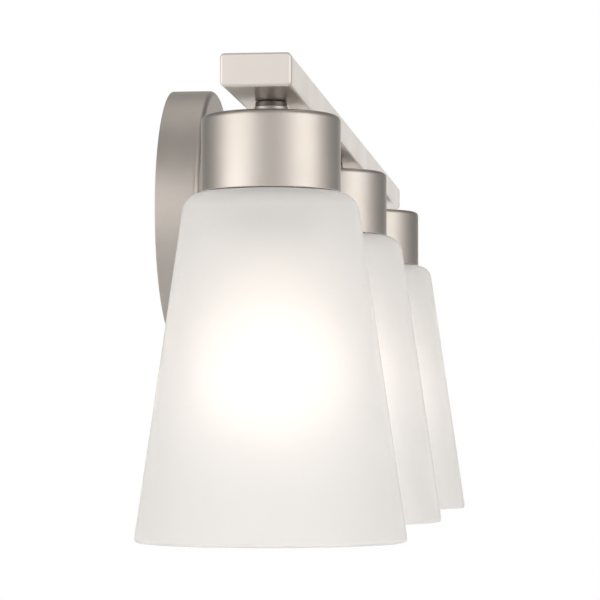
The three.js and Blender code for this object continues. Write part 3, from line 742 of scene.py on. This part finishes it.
# %% Cups
CUP_WALL = 1 * MM
CUP_EDGE = 2.5 * MM
for n in lamp_numbers:
    cup = span(f"socket_cup_{n}")
    rim, top, radius = cup.low.z, cup.high.z, cup.size.x / 2
    complete(turned(f"socket_cup_polished_{n}", [
        (socket_hole, top, BREAK), (radius, top, CUP_EDGE), (radius, rim, SMALL_EDGE),
        (radius - CUP_WALL, rim, SMALL_EDGE),
        (radius - CUP_WALL, top - CUP_WALL, CUP_EDGE - CUP_WALL),
        (socket_hole, top - CUP_WALL, BREAK),
    ], lamp_axis[n], 8, sides=144), f"socket_cup_{n}")
print(len(lamp_numbers), "cups")

# %% [markdown]
# ## The flared shade, by Geometry Nodes
#
# The shade follows one rule: a section of six corners, filleted, and turned about the
# lamp. That suits Geometry Nodes. The tree lays out the six corners from its named
# inputs, rounds them with Fillet Curve, reads that section onto a grid by index, wraps
# the grid round the axis and merges the seams. Changing an input such as the foot radius
# remakes the whole shade. The result is baked to a plain mesh for each lamp.

# %% Geometry Nodes helpers
GEOMETRY, MATERIAL, INTEGER = "NodeSocketGeometry", "NodeSocketMaterial", "NodeSocketInt"


def geometry_tree(name, inputs):
    """A tree from geometry to geometry, with these inputs and a material."""
    inputs = [("Geometry", GEOMETRY, None), *inputs, ("Material", MATERIAL, None)]
    tree, given, out = new_group(name, "GeometryNodeTree", inputs, ("Geometry", GEOMETRY))
    return tree, given, out, partial(node, tree), partial(math_node, tree)


def baked(name, tree, values, base=None):
    """A plain mesh object: the tree is run on base, or on an empty mesh, with these inputs."""
    grown = bpy.data.objects.new(name, base.data if base else bpy.data.meshes.new(name))
    scene.collection.objects.link(grown)
    items = tree.interface.items_tree
    sockets = {item.name: item.identifier for item in items if item.in_out == "INPUT"}
    modifier = grown.modifiers.new("grow", "NODES")
    modifier.node_group = tree
    for label, value in values.items():
        modifier[sockets[label]] = value
    made_real(grown, modifier)
    if base:
        bpy.data.objects.remove(base)
    return grown


def end_tree(tree, geometry, material, out):
    """Every tree ends the same way: real geometry, with its material."""
    real = node(tree, "GeometryNodeRealizeInstances", {0: geometry})
    dressed = node(tree, "GeometryNodeSetMaterial", {0: real.outputs[0], "Material": material})
    tree.links.new(dressed.outputs[0], out[0])


def by_index(tree, index, values):
    """One of several numbers, picked by an index."""
    switch = node(tree, "GeometryNodeIndexSwitch", data_type="FLOAT")
    for _ in values[2:]:
        switch.index_switch_items.new()
    fill(tree, switch, dict(enumerate([index, *values])))
    return switch.outputs[0]


# %% Shade tree
def shade_tree():
    tree, given, out, add, maths = geometry_tree("flared shade", [
        ("Axis", VECTOR, None), ("Top", FLOAT, 0.0), ("Height", FLOAT, 0.15),
        ("Hole Radius", FLOAT, 0.02), ("Corner Radius", FLOAT, 0.04), ("Foot Radius", FLOAT, 0.06),
        ("Wall", FLOAT, 0.0035), ("Shoulder", FLOAT, 0.009), ("Sides", INTEGER, 128),
    ])
    hole, corner, foot_radius = (given[f"{place} Radius"] for place in ("Hole", "Corner", "Foot"))
    top, wall, shoulder, sides = (given[label] for label in ("Top", "Wall", "Shoulder", "Sides"))
    index = add("GeometryNodeInputIndex").outputs[0]
    foot = maths("SUBTRACT", top, given["Height"])
    under = maths("SUBTRACT", top, wall)
    inner_foot = maths("SUBTRACT", foot_radius, wall)
    inner_corner = maths("SUBTRACT", corner, maths("MULTIPLY", wall, 0.87))
    inner_shoulder = maths("SUBTRACT", shoulder, wall)
    rim, edge = maths("MULTIPLY", wall, 0.46), maths("MULTIPLY", wall, 0.15)
    radii = by_index(tree, index, [hole, corner, foot_radius, inner_foot, inner_corner, hole])
    heights = by_index(tree, index, [top, top, foot, foot, under, under])
    fillets = by_index(tree, index, [edge, shoulder, rim, rim, inner_shoulder, edge])
    corners = add("GeometryNodeMeshLine", {"Count": 6}).outputs[0]
    places = add("ShaderNodeCombineXYZ", {0: radii, 2: heights}).outputs[0]
    laid = add("GeometryNodeSetPosition", {"Geometry": corners, "Position": places})
    line = add("GeometryNodeMeshToCurve", {0: laid.outputs[0]})
    ring = add("GeometryNodeSetSplineCyclic", {"Geometry": line.outputs[0], "Cyclic": True})
    section = add("GeometryNodeFilletCurve", {
        "Curve": ring.outputs[0], "Count": 7, "Radius": fillets}, mode="POLY").outputs[0]
    size = add("GeometryNodeAttributeDomainSize", {0: section}, component="CURVE")
    size = size.outputs["Point Count"]
    around = maths("ADD", sides, 1.0)
    grid = add("GeometryNodeMeshGrid", {
        "Vertices X": maths("ADD", size, 1.0), "Vertices Y": around}).outputs[0]
    row = maths("FLOOR", maths("DIVIDE", maths("ADD", index, 0.5), around))
    column = maths("SUBTRACT", index, maths("MULTIPLY", row, around))
    on_section = add("GeometryNodeSampleIndex", {
        "Geometry": section}, data_type="FLOAT_VECTOR", domain="POINT")
    fill(tree, on_section, {
        "Value": add("GeometryNodeInputPosition").outputs[0],
        "Index": maths("MODULO", maths("ADD", row, 0.1), size)})
    turn = maths("MULTIPLY", maths("DIVIDE", column, sides), 2 * math.pi)
    spun = add("ShaderNodeVectorRotate", {
        "Vector": on_section.outputs[0], "Angle": turn}, rotation_type="Z_AXIS")
    moved = add("ShaderNodeVectorMath", {0: spun.outputs[0], 1: given["Axis"]}, operation="ADD")
    shell = add("GeometryNodeSetPosition", {"Geometry": grid, "Position": moved.outputs[0]})
    closed = add("GeometryNodeMergeByDistance", {
        "Geometry": shell.outputs[0], "Distance": 2 * MICRON})
    end_tree(tree, closed.outputs[0], given["Material"], out)
    return tree


# %% Shades
LEDGE = 7.1 * MM
flared_shade = shade_tree()
body_radius = span(f"socket_body_{first}").size.x / 2
for n in lamp_numbers:
    glass = span(f"shade_glass_{n}")
    shade = baked(f"flared_shade_{n}", flared_shade, {
        "Axis": (*lamp_axis[n], 0), "Top": glass.high.z, "Height": glass.size.z,
        "Hole Radius": body_radius + MM, "Corner Radius": cup_radius + LEDGE,
        "Foot Radius": glass.size.x / 2, "Wall": 3.5 * MM, "Shoulder": 9 * MM, "Sides": 160,
        "Material": FINISH["etched_glass"],
    })
    complete(face_outwards(shade), f"shade_glass_{n}")
print(f"{len(lamp_numbers)} shades of {len(shade.data.polygons)} faces")

# %% [markdown]
# ## Lamps
#
# Each lamp has a frosted glass envelope, a rolled screw cap and a soldered centre tip.
# The envelope's outline is a sphere, a cone that touches it, and a neck that runs into
# the cap, with the joins rounded. The cap's screw is a true helix: every point of a
# cylinder moves in and out with its height and its angle, and the thread fades at both
# ends so that the cap starts and ends round.

# %% Threads
def threaded(
    name, radius, depth, pitch, low, high, axis, bore, hold=1.5, rolled=False, sides=64, **shape
):
    """A closed sleeve with an outside screw thread, or with one on both faces if it is
    rolled from sheet. hold is how much of each end stays plain, in pitches.
    """
    steps = max(8, round(8 * (high - low) / pitch))
    heights = [low + (high - low) * ring / steps for ring in range(steps + 1)]

    def wave(crest, along):
        fade = min(1, max(0, min(along - low, high - along) / (hold * pitch) - 0.2))
        phase = 2 * math.pi * along / pitch
        return lambda turn: crest - depth * (0.5 - 0.5 * math.cos(turn - phase)) * fade

    rows = [(wave(radius, along), along) for along in heights]
    if rolled:
        rows += [(wave(bore, along), along) for along in reversed(heights)]
    else:
        rows += [(bore, high), (bore, low)]
    return ringed(name, rows, axis, sides=sides, **shape)


def joined(piece, other):
    """Adds another mesh to a piece, each still a closed shell of its own."""
    both = bmesh.new()
    both.from_mesh(piece.data)
    both.from_mesh(other.data)
    both.to_mesh(piece.data)
    both.free()
    bpy.data.objects.remove(other)
    return piece


print("threads ready")

# %% Lamps
LAMP_PITCH = 3.63 * MM
LAMP_THREAD = 0.9 * MM
CHEEK = math.radians(20)
BELLY_STEPS = 24
GLASS_WALL = 1 * MM
CAP_WALL = 0.7 * MM
CAP_EYE = 1.5 * MM
for n in lamp_numbers:
    envelope, cap, tip = (span(f"bulb_{part}_{n}") for part in ("envelope", "cap", "tip"))
    belly = envelope.size.x / 2
    centre = envelope.low.z + belly
    neck, cone_top = cap.size.x / 2 - 1.2 * MM, cap.low.z - 0.6 * MM
    turns = [CHEEK - step * (CHEEK + math.pi / 2) / BELLY_STEPS for step in range(BELLY_STEPS + 1)]
    belly_arc = [Vector((belly * math.cos(t), centre + belly * math.sin(t))) for t in turns]
    belly_arc[-1].x = 0
    outside = rounded([
        (neck, envelope.high.z, 0.2 * MM), (neck, cone_top, 9 * MM), (*belly_arc[0], 0),
        (0, centre, 0),
    ], 8)[:-2] + belly_arc
    shrink = (belly - GLASS_WALL) / belly
    inside = [
        Vector((max(p.x - GLASS_WALL, 0), p.y)) if p.y > centre
        else Vector((p.x * shrink, centre + (p.y - centre) * shrink)) for p in outside]
    inside[-1].x = 0
    glass = ringed(f"lamp_glass_{n}", outside + inside[::-1], lamp_axis[n], sides=72)
    complete(glass, f"bulb_envelope_{n}")

    radius, top, skirt_top = cap.size.x / 2, cap.high.z, cap.high.z - 3.4 * MM
    cone_foot, tip_radius = skirt_top - 0.1 * MM, tip.size.x / 2
    skirt = threaded(
        f"lamp_cap_{n}", radius, LAMP_THREAD, LAMP_PITCH, cap.low.z, skirt_top, lamp_axis[n],
        radius - CAP_WALL - LAMP_THREAD, hold=0.8)
    cone = turned(f"lamp_cap_cone_{n}", [
        (CAP_EYE, top, 0.2 * MM), (tip_radius, top, 0.4 * MM), (radius - MM, cone_foot, 0.3 * MM),
        (radius - 2 * MM, cone_foot, 0.2 * MM), (tip_radius, top - MM, 0.3 * MM),
        (CAP_EYE, top - MM, 0.2 * MM),
    ], lamp_axis[n], 3, sides=64)
    complete(joined(skirt, cone), f"bulb_cap_{n}")
    complete(turned(f"lamp_tip_{n}", [
        (0, tip.low.z, 0), (tip_radius, tip.low.z, 0.3 * MM),
        (tip_radius, tip.low.z + 0.7 * MM, 0.35 * MM),
        (0.6 * tip_radius, tip.high.z, 1.2 * MM), (0, tip.high.z, 0),
    ], lamp_axis[n], 5, sides=48), f"bulb_tip_{n}")
print(len(lamp_numbers), "lamps with screw caps")

# %% [markdown]
# ## Ribs round a barrel, by Geometry Nodes
#
# Three kinds of piece here are turned by hand and have grip ribs: the rings that hold the
# shades, the cap nuts of the canopy and the splice caps of the leads. One tree makes them
# all. It stands small rounded ribs on a ring of points, leans each one by the same angle
# so that they can follow a cone, and adds the plain barrel that it is run on.

# %% Rib tree
def rib_tree():
    tree, given, out, add, maths = geometry_tree("ribs round a barrel", [
        ("Middle", VECTOR, None), ("Turn", VECTOR, None), ("Ring Radius", FLOAT, 0.01),
        ("Rib Radius", FLOAT, 0.0005), ("Length", FLOAT, 0.003), ("Lean", FLOAT, 0.0),
        ("Count", INTEGER, 48),
    ])
    count = given["Count"]
    ring = add("GeometryNodeMeshCircle", {"Vertices": count, "Radius": given["Ring Radius"]})
    rib = add("GeometryNodeMeshCylinder", {
        "Vertices": 8, "Radius": given["Rib Radius"], "Depth": given["Length"]})
    index = add("GeometryNodeInputIndex").outputs[0]
    angle = maths("MULTIPLY", maths("DIVIDE", index, count), 2 * math.pi)
    stance = add("ShaderNodeCombineXYZ", {1: given["Lean"], 2: angle})
    ribs = add("GeometryNodeInstanceOnPoints", {
        "Points": ring.outputs[0], "Instance": rib.outputs[0], "Rotation": stance.outputs[0]})
    placed = add("GeometryNodeTransform", {
        "Geometry": ribs.outputs[0], "Translation": given["Middle"], "Rotation": given["Turn"]})
    both = add("GeometryNodeJoinGeometry", {0: placed.outputs[0]})
    tree.links.new(given["Geometry"], both.inputs[0])
    end_tree(tree, both.outputs[0], given["Material"], out)
    return tree


ribs_round_barrel = rib_tree()


def ribbed(plain, name, material, ring_radius, rib_radius, middle, length, count, **more):
    """A plain barrel with ribs round it."""
    return baked(name, ribs_round_barrel, {
        "Middle": middle, "Ring Radius": ring_radius, "Rib Radius": rib_radius, "Length": length,
        "Count": count, "Material": material, **more,
    }, plain)


print("rib tree ready")

# %% [markdown]
# ## Sockets, shells and contacts
#
# The socket is a black moulding with a partition across it: wires are joined above, and
# the lamp goes in below. Its outside carries a coarse thread for the shade ring. Inside
# is a brass shell rolled from sheet, so its thread shows on both faces, and a flat
# contact on a stem.

# %% Socket bodies
RING_PITCH = 2.5 * MM
SOCKET_CAVITY = 13 * MM
SHELL_EYE = 8 * MM
STEM = 2.6 * MM
EDGE = 0.5 * MM
for n in lamp_numbers:
    axis = lamp_axis[n]
    names = ("socket_body", "socket_screw_shell", "socket_contact")
    moulding, shell, contact = (span(f"{name}_{n}") for name in names)
    low, high, radius = moulding.low.z, moulding.high.z, moulding.size.x / 2
    shell_top, shell_radius = shell.high.z, shell.size.x / 2
    bore, stem_hole, plain = shell_radius + 0.6 * MM, STEM + RUNNING_GAP, radius - 0.9 * MM
    partition_low, partition_high = shell_top + RUNNING_GAP, contact.high.z - 0.8 * MM
    thread_top, cavity_top = low + 24 * MM, high - 4 * MM
    body = turned(f"socket_body_moulded_{n}", [
        (socket_hole, high, BREAK), (radius, high, 1.5 * MM), (radius, thread_top, BREAK),
        (plain, thread_top, 0.2 * MM), (plain, low, EDGE), (bore, low, EDGE),
        (bore, partition_low, EDGE), (stem_hole, partition_low, FINE_BREAK),
        (stem_hole, partition_high, FINE_BREAK), (SOCKET_CAVITY, partition_high, EDGE),
        (SOCKET_CAVITY, cavity_top, EDGE), (socket_hole, cavity_top, FINE_BREAK),
    ], axis, sides=80)
    thread = threaded(
        f"ring_thread_{n}", radius, 0.8 * MM, RING_PITCH, low + MM, low + 23 * MM, axis, bore + MM,
        hold=0.5, sides=80)
    complete(joined(body, thread), f"socket_body_{n}")
    rolled = threaded(
        f"screw_shell_{n}", shell_radius, 0.5 * MM, LAMP_PITCH, shell.low.z, shell_top - 0.2 * MM,
        axis, shell_radius - 0.3 * MM, hold=0.4, rolled=True)
    eye_foot = shell_top - 0.6 * MM
    eye = turned(f"shell_eye_{n}", [
        (SHELL_EYE, shell_top, 0.1 * MM), (shell_radius, shell_top, 0.25 * MM),
        (shell_radius, eye_foot, 0.1 * MM), (SHELL_EYE, eye_foot, 0.1 * MM),
    ], axis, 3, sides=64)
    complete(joined(rolled, eye), f"socket_screw_shell_{n}")
    face, face_top, face_radius = contact.low.z, contact.low.z + MM, contact.size.x / 2
    complete(turned(f"centre_contact_{n}", [
        (0, face, 0), (face_radius, face, 0.35 * MM), (face_radius, face_top, 0.35 * MM),
        (STEM, face_top, 0.2 * MM), (STEM, contact.high.z, 0.4 * MM), (0, contact.high.z, 0),
    ], axis, 3, sides=48), f"socket_contact_{n}")
print(f"socket bodies of {len(body.data.polygons)} faces, shells of {len(rolled.data.polygons)}")

# %% [markdown]
# ## Shade rings
#
# A ring screws up the socket from inside the shade and holds the glass against the cup's
# foot. Its flange has ribs for the fingers. They come from the rib tree, run on the
# turned ring.

# %% Shade rings
RING_RIB = 0.55 * MM
for n in lamp_numbers:
    ring = span(f"shade_ring_{n}")
    low, top, flange = ring.low.z, ring.high.z, ring.size.x / 2 - RING_RIB
    bore, skirt, flange_low = body_radius + EDGE, body_radius + EDGE + 2.4 * MM, top - 3 * MM
    plain_ring = turned(f"shade_ring_plain_{n}", [
        (bore, low, SMALL_EDGE), (skirt, low, 0.6 * MM), (skirt, flange_low, BREAK),
        (flange, flange_low, SMALL_EDGE), (flange, top, SMALL_EDGE), (bore, top, SMALL_EDGE),
    ], lamp_axis[n])
    middle = (*lamp_axis[n], (flange_low + top) / 2)
    ring = ribbed(plain_ring, f"shade_ring_ribbed_{n}", FINISH["black_phenolic"], flange, RING_RIB,
                  middle, top - flange_low - EDGE, 60)
    complete(ring, f"shade_ring_{n}")
print(f"{len(lamp_numbers)} shade rings of {len(ring.data.polygons)} faces")

# %% [markdown]
# ## Nipples and hex nuts
#
# Threaded lamp pipe joins the pieces: a short nipple clamps each socket cup to the bar,
# and a long one clamps the arm between the canopy and the bar. A hex nut is a lathe piece
# with a twist: at every angle its radius is either that of the hexagon or that of the
# chamfer's cone, whichever is less, which is how the real chamfer is cut.

# %% Nipples and nuts
PIPE_PITCH = 0.94 * MM
PIPE_THREAD = 0.45 * MM
NUT_FLATS = 14 * MM
PIPE_CLEARANCE = 5.3 * MM
SIXTH = math.pi / 3


def hex_nut(name, low, high, axis, hole, **shape):
    """A hex nut across NUT_FLATS with chamfered corners."""
    apothem = NUT_FLATS / 2
    corner = apothem / math.cos(SIXTH / 2)
    drop = (corner - apothem) * math.tan(SIXTH / 2)
    cone = [(apothem, low), ((apothem + corner) / 2, low + drop / 2), (corner, low + drop)]
    cone += [(limit, low + high - along) for limit, along in reversed(cone)]

    def hexagon(limit):
        return lambda turn: min(apothem / math.cos(turn % SIXTH - SIXTH / 2), limit)

    rows = [(hole, low), *((hexagon(limit), along) for limit, along in cone), (hole, high)]
    return ringed(name, rows, axis, sides=72, **shape)


def pipe(name, radius, low, high, axis, wall, **shape):
    return threaded(
        name, radius, PIPE_THREAD, PIPE_PITCH, low, high, axis, radius - wall, sides=32, **shape)


for n in lamp_numbers:
    short = pipe(f"lamp_pipe_{n}", socket_nipple.size.x / 2, socket_nipple.low.z,
                 socket_nipple.high.z, lamp_axis[n], 1.5 * MM)
    complete(short, f"socket_nipple_{n}")
    nut = span(f"nipple_nut_{n}")
    nut = hex_nut(f"pipe_nut_{n}", nut.low.z, nut.high.z, lamp_axis[n], PIPE_CLEARANCE)
    complete(nut, f"nipple_nut_{n}")
arm_axis = (0, nipple.middle.z)
arm_pipe = pipe("arm_pipe", nipple.size.x / 2, nipple.low.y, nipple.high.y, arm_axis, 1.2 * MM,
                upright=False)
complete(arm_pipe, "arm_nipple")
nut = span("arm_nut")
nut = hex_nut("arm_pipe_nut", nut.low.y, nut.high.y, arm_axis, pipe_hole, upright=False)
complete(nut, "arm_nut")
print(f"pipes of {len(short.data.polygons)} and {len(arm_pipe.data.polygons)} faces, and hex nuts")

# %% [markdown]
# ## Strap, backing plate and their screws
#
# The strap is stamped from sheet: a rounded bar with two plain holes for the studs, one
# for the pipe, one for the ground screw and two slots that let the fixture be levelled on
# the wall box. The stamped edges are broken. The screws have a low dome with a cross
# recess, cut by a cross-shaped punch.

# %% Strap and backing plate
STRAP_HOLE = 2.3 * MM
SLOT_LENGTH = 9 * MM
PUNCH_REACH = 3 * MM
strap_span, plate_span = span("mounting_strap"), span("arm_backing_plate")
slot_x = span("box_screw_right").middle.x
ground_screw = span("ground_screw").middle


def facing_room(point, along):
    return (point[0], along, point[1])


def stamped(name, sheet, radius, steps):
    """A rounded plate that fills a node's box."""
    middle = (sheet.middle.x, sheet.middle.z)
    outline = box_outline(sheet.size.x, sheet.size.z, radius, steps, middle)
    return stacked(name, [(outline, sheet.low.y), (outline, sheet.high.y)], facing_room)


def punch(sheet, radius, place):
    return rod("punch", radius, sheet.low.y - PUNCH_REACH, sheet.high.y + PUNCH_REACH, place)


def slot_punch(x):
    width = 2 * STRAP_HOLE
    outline = box_outline(SLOT_LENGTH, width, width * 0.499, 8, (x, 0))
    ends = strap_span.low.y - PUNCH_REACH, strap_span.high.y + PUNCH_REACH
    return stacked("punch", [(outline, y) for y in ends], facing_room)


holes = [
    (STRAP_HOLE, (stud.middle.x, 0)), (STRAP_HOLE, (-stud.middle.x, 0)), (PIPE_CLEARANCE, (0, 0)),
    (STRAP_HOLE, (ground_screw.x, ground_screw.z)),
]
strap = drilled(
    stamped("mounting_strap_stamped", strap_span, 3 * MM, 6),
    *[punch(strap_span, hole, place) for hole, place in holes],
    slot_punch(-slot_x), slot_punch(slot_x))
complete(chamfered(strap, FINE_BREAK), "mounting_strap")
plate = drilled(
    stamped("backing_plate_stamped", plate_span, 0.8 * MM, 4),
    punch(plate_span, pipe_hole, arm_axis))
complete(chamfered(plate, FINE_BREAK), "arm_backing_plate")
print(f"strap {len(strap.data.polygons)} faces, plate {len(plate.data.polygons)} faces")

# %% Strap screws
SCREW_SHANK = 2 * MM
RECESS_REACH, RECESS_HALF_WIDTH = 1.9 * MM, 0.4 * MM


def cross_outline(middle):
    r, w = RECESS_REACH, RECESS_HALF_WIDTH
    quarter = [Vector((-w, -r)), Vector((w, -r)), Vector((w, -w))]
    turns = [Matrix.Rotation(math.pi / 2 * step, 2) for step in range(4)]
    return [turn @ corner + Vector(middle) for turn in turns for corner in quarter]


for screw_name in ("box_screw_left", "box_screw_right", "ground_screw"):
    screw = span(screw_name)
    face, end, head = screw.low.y, screw.high.y, screw.size.x / 2
    under, place = strap_span.low.y - 0.3 * MM, (screw.middle.x, screw.middle.z)
    headed = turned(f"{screw_name}_headed", [
        (0, face, 0), (head * 0.55, face, 2.2 * MM), (head, face + 1.4 * MM, 0.7 * MM),
        (head, under, 0.2 * MM), (SCREW_SHANK, under, 0.1 * MM), (SCREW_SHANK, end, 0.3 * MM),
        (0, end, 0),
    ], place, 5, upright=False, sides=48)
    recess = cross_outline(place)
    cross = stacked("punch", [(recess, face - MM), (recess, face + 1.3 * MM)], facing_room)
    complete(drilled(headed, cross), screw_name)
print("three screws with cross recesses")

# %% [markdown]
# ## Studs, washers and cap nuts
#
# Two machine-screw studs stand out from the strap through the canopy's face. A washer and
# a knurled cap nut on each hold the canopy against the wall. The nut is a short straight
# barrel with a dome, and its knurl comes from the rib tree, turned to face the room.

# %% Studs, washers and cap nuts
STUD_PITCH = 0.79375 * MM
STUD_THREAD = 0.35 * MM
NUT_RIB = 0.3 * MM
NUT_STRAIGHT = 3 * MM
NUT_BORE_DEPTH = 7 * MM
DOME_STEPS = 12
FACING_ROOM = (math.pi / 2, 0, 0)
for side_name in ("left", "right"):
    names = (f"stud_{side_name}", f"nut_washer_{side_name}", f"cap_nut_{side_name}")
    screw, washer, cap = (span(name) for name in names)
    place = (screw.middle.x, screw.middle.z)
    threads = threaded(
        f"stud_threaded_{side_name}", screw.size.x / 2, STUD_THREAD, STUD_PITCH, screw.low.y,
        screw.high.y, place, 0, sides=24, upright=False)
    complete(threads, names[0])
    front, back, radius = washer.low.y, washer.high.y, washer.size.x / 2
    complete(turned(f"washer_turned_{side_name}", [
        (stud_hole, front, FINE_BREAK), (radius, front, 0.25 * MM), (radius, back, FINE_BREAK),
        (stud_hole, back, FINE_BREAK),
    ], place, 3, upright=False, sides=64), names[1], material=nickel_canopy)
    barrel, mouth = cap.size.x / 2 - NUT_RIB, cap.high.y
    crown, bore_end = mouth - NUT_STRAIGHT, mouth - NUT_BORE_DEPTH
    turns = [math.pi / 2 * step / DOME_STEPS for step in range(DOME_STEPS + 1)]
    dome = [(barrel * math.cos(t), crown + (cap.low.y - crown) * math.sin(t)) for t in turns]
    outline = dome + [
        (0, bore_end), (stud_hole, bore_end), (stud_hole, mouth - BREAK),
        (stud_hole + BREAK, mouth), (barrel - BREAK, mouth), (barrel, mouth - BREAK),
    ]
    plain_nut = ringed(f"cap_nut_plain_{side_name}", outline, place, upright=False, sides=64)
    middle = (cap.middle.x, mouth - NUT_STRAIGHT / 2, cap.middle.z)
    nut = ribbed(plain_nut, f"cap_nut_knurled_{side_name}", nickel_canopy, barrel, NUT_RIB, middle,
                 NUT_STRAIGHT - 2 * NUT_RIB, 40, Turn=FACING_ROOM)
    complete(nut, names[2], material=nickel_canopy)
print(f"studs of {len(threads.data.polygons)} faces, cap nuts of {len(nut.data.polygons)}")

# %% [markdown]
# ## Splice caps
#
# Each colour of lead meets the house wire in a moulded cap: a plain skirt, then a cone
# with grip ribs down to a blunt tip. The rib tree leans its ribs to the cone's angle.

# %% Splice caps
RIB_FALL, RIB_CLOSE = 12 * MM, 2 * MM
CAP_MOUTH = 3.2 * MM
for cap_name in ("splice_cap_hot", "splice_cap_neutral", "splice_cap_ground"):
    cap = span(cap_name)
    place, foot, top, skirt = cap.middle.xy, cap.low.z, cap.high.z, cap.size.x / 2
    bore_end = top - 16.8 * MM
    plain_cap = turned(f"{cap_name}_plain", [
        (CAP_MOUTH, top, BREAK), (skirt, top, EDGE), (skirt, top - 4 * MM, SMALL_EDGE),
        (5.9 * MM, top - 4.6 * MM, BREAK), (3.6 * MM, top - 18 * MM, 1 * MM),
        (2.7 * MM, foot, EDGE), (0, foot, 0), (0, bore_end, 0), (2.2 * MM, bore_end, 0.2 * MM),
        (CAP_MOUTH, top - 8 * MM, 0.2 * MM),
    ], place, sides=64)
    cap = ribbed(plain_cap, f"{cap_name}_ribbed", FINISH[slot_of[cap_name]], 4.75 * MM, 0.45 * MM,
                 (*place, top - 11 * MM), RIB_FALL, 16, Lean=math.atan2(RIB_CLOSE, RIB_FALL))
    complete(cap, cap_name)
print("three splice caps")

# %% [markdown]
# ## Leads, by Geometry Nodes
#
# The leads run from the splice caps through the arm's pipe into the bar, branch there and
# drop through the nipples into the sockets. Each colour is laid as a few smooth lines
# through chosen points, and one tree turns them into round wire: mesh to curve, even
# steps, a round profile, closed ends. The leads are fixed inside the fitting, so they
# aren't free cords.

# %% Lead paths
LEAD_RADIUS = 0.9 * MM
PATH_STEPS = 7


def smooth_path(points):
    """A centripetal spline through the points, which doesn't swing out on uneven gaps."""
    knots = [Vector(p) * MM for p in points]
    ends = [2 * knots[0] - knots[1], *knots, 2 * knots[-1] - knots[-2]]
    path = []
    for before, start, end, after in zip(ends, ends[1:], ends[2:], ends[3:]):
        steps = (start - before, end - start, after - end)
        into, gap, onward = (step.length ** 0.5 for step in steps)
        leaving = (steps[0] / into - (end - before) / (into + gap) + steps[1] / gap) * gap
        arriving = (steps[1] / gap - (after - start) / (gap + onward) + steps[2] / onward) * gap
        for step in range(PATH_STEPS):
            t = step / PATH_STEPS
            path.append(
                (2 * t**3 - 3 * t**2 + 1) * start + (t**3 - 2 * t**2 + t) * leaving
                + (3 * t**2 - 2 * t**3) * end + (t**3 - t**2) * arriving)
    return path + [knots[-1]]


def lead_tree():
    tree, given, out, add, _ = geometry_tree("lead along a path", [
        ("Radius", FLOAT, 0.0009), ("Step", FLOAT, 0.0012), ("Sides", INTEGER, 14),
    ])
    line = add("GeometryNodeMeshToCurve", {0: given["Geometry"]}).outputs[0]
    even = add("GeometryNodeResampleCurve", {"Curve": line, "Length": given["Step"]}, mode="LENGTH")
    profile = add("GeometryNodeCurvePrimitiveCircle", {
        "Resolution": given["Sides"], "Radius": given["Radius"]})
    wire = add("GeometryNodeCurveToMesh", {
        "Curve": even.outputs[0], "Profile Curve": profile.outputs[0], "Fill Caps": True})
    end_tree(tree, wire.outputs[0], given["Material"], out)
    return tree


lead_along_path = lead_tree()


def lead(cad_name, routes):
    """One colour of lead: every route is its own line of points, in millimetres."""
    points, edges = [], []
    for route in routes:
        path = smooth_path(route)
        edges += [(len(points) + step, len(points) + step + 1) for step in range(len(path) - 1)]
        points += path
    guide = linked(f"{cad_name}_lines", points, edges, [])
    values = {"Radius": LEAD_RADIUS, "Material": FINISH[slot_of[cad_name]]}
    wire = face_outwards(baked(f"{cad_name}_drawn", lead_along_path, values, guide))
    complete(wire, cad_name)
    print(cad_name, len(wire.data.polygons), "faces")


# %% Leads
# every number here is in millimetres
RISE, BAR_Y = bar_span.middle.z / MM, bar_span.middle.y / MM
CAP_Y = -12.25
CAP_MOUTH_Z = (-20, -8)
lamp_reach = lamp_axis[lamp_numbers[-1]].x / MM
for cad_name, side, run_z, drop_end in (("wire_hot", -1, 40.9, 2), ("wire_neutral", 1, 38.4, 6)):
    cap_x = span(cad_name.replace("wire", "splice_cap")).middle.x / MM
    arm_x, run_y, shift = side * 1.2, BAR_Y - side * 3.5, side * 1.3
    run_start, run_end = -lamp_reach - 0.9 + shift, lamp_reach + 0.9 + shift
    routes = [
        [*((cap_x, CAP_Y, z) for z in CAP_MOUTH_Z), (0.8 * cap_x, -11.25, 10),
         (0.4 * cap_x + arm_x, -8.1, RISE - 9), (arm_x, -9.6, RISE - 1), (arm_x, -14.1, RISE),
         (arm_x, -70.8, RISE)],
        [(arm_x, -69.8, RISE), (arm_x, -74.8, RISE), (arm_x, -77.6, RISE + 0.75 * (run_z - RISE)),
         (arm_x, run_y, run_z)],
        [(run_start, run_y, run_z), (run_end, run_y, run_z)],
    ]
    for n in lamp_numbers:
        x = lamp_axis[n].x / MM + shift
        drop = [(run_y, run_z), (run_y + 2 * side, run_z - 0.5), (BAR_Y, 35.3), (BAR_Y, 31.3)]
        routes.append([(x, y, z) for y, z in [*drop, (BAR_Y, drop_end)]])
    lead(cad_name, routes)
ground_x = span("splice_cap_ground").middle.x / MM
lead("wire_ground", [[
    *((ground_x, CAP_Y, z) for z in CAP_MOUTH_Z), (24, -10.25, 4), (20, CAP_Y, 20.5),
    (10.5, -19.5, 32.5),
]])

# %% [markdown]
# ## Last look at the sizes
# Every CAD node that no new piece stands for stays visible with its own mesh, and takes
# the finish of its slot.

# %% Finishes for the rest
for name, cad_node in frame["nodes"].items():
    if not cad_node.hide_render:
        cad_node.data.materials.clear()
        cad_node.data.materials.append(FINISH[slot_of[name]])
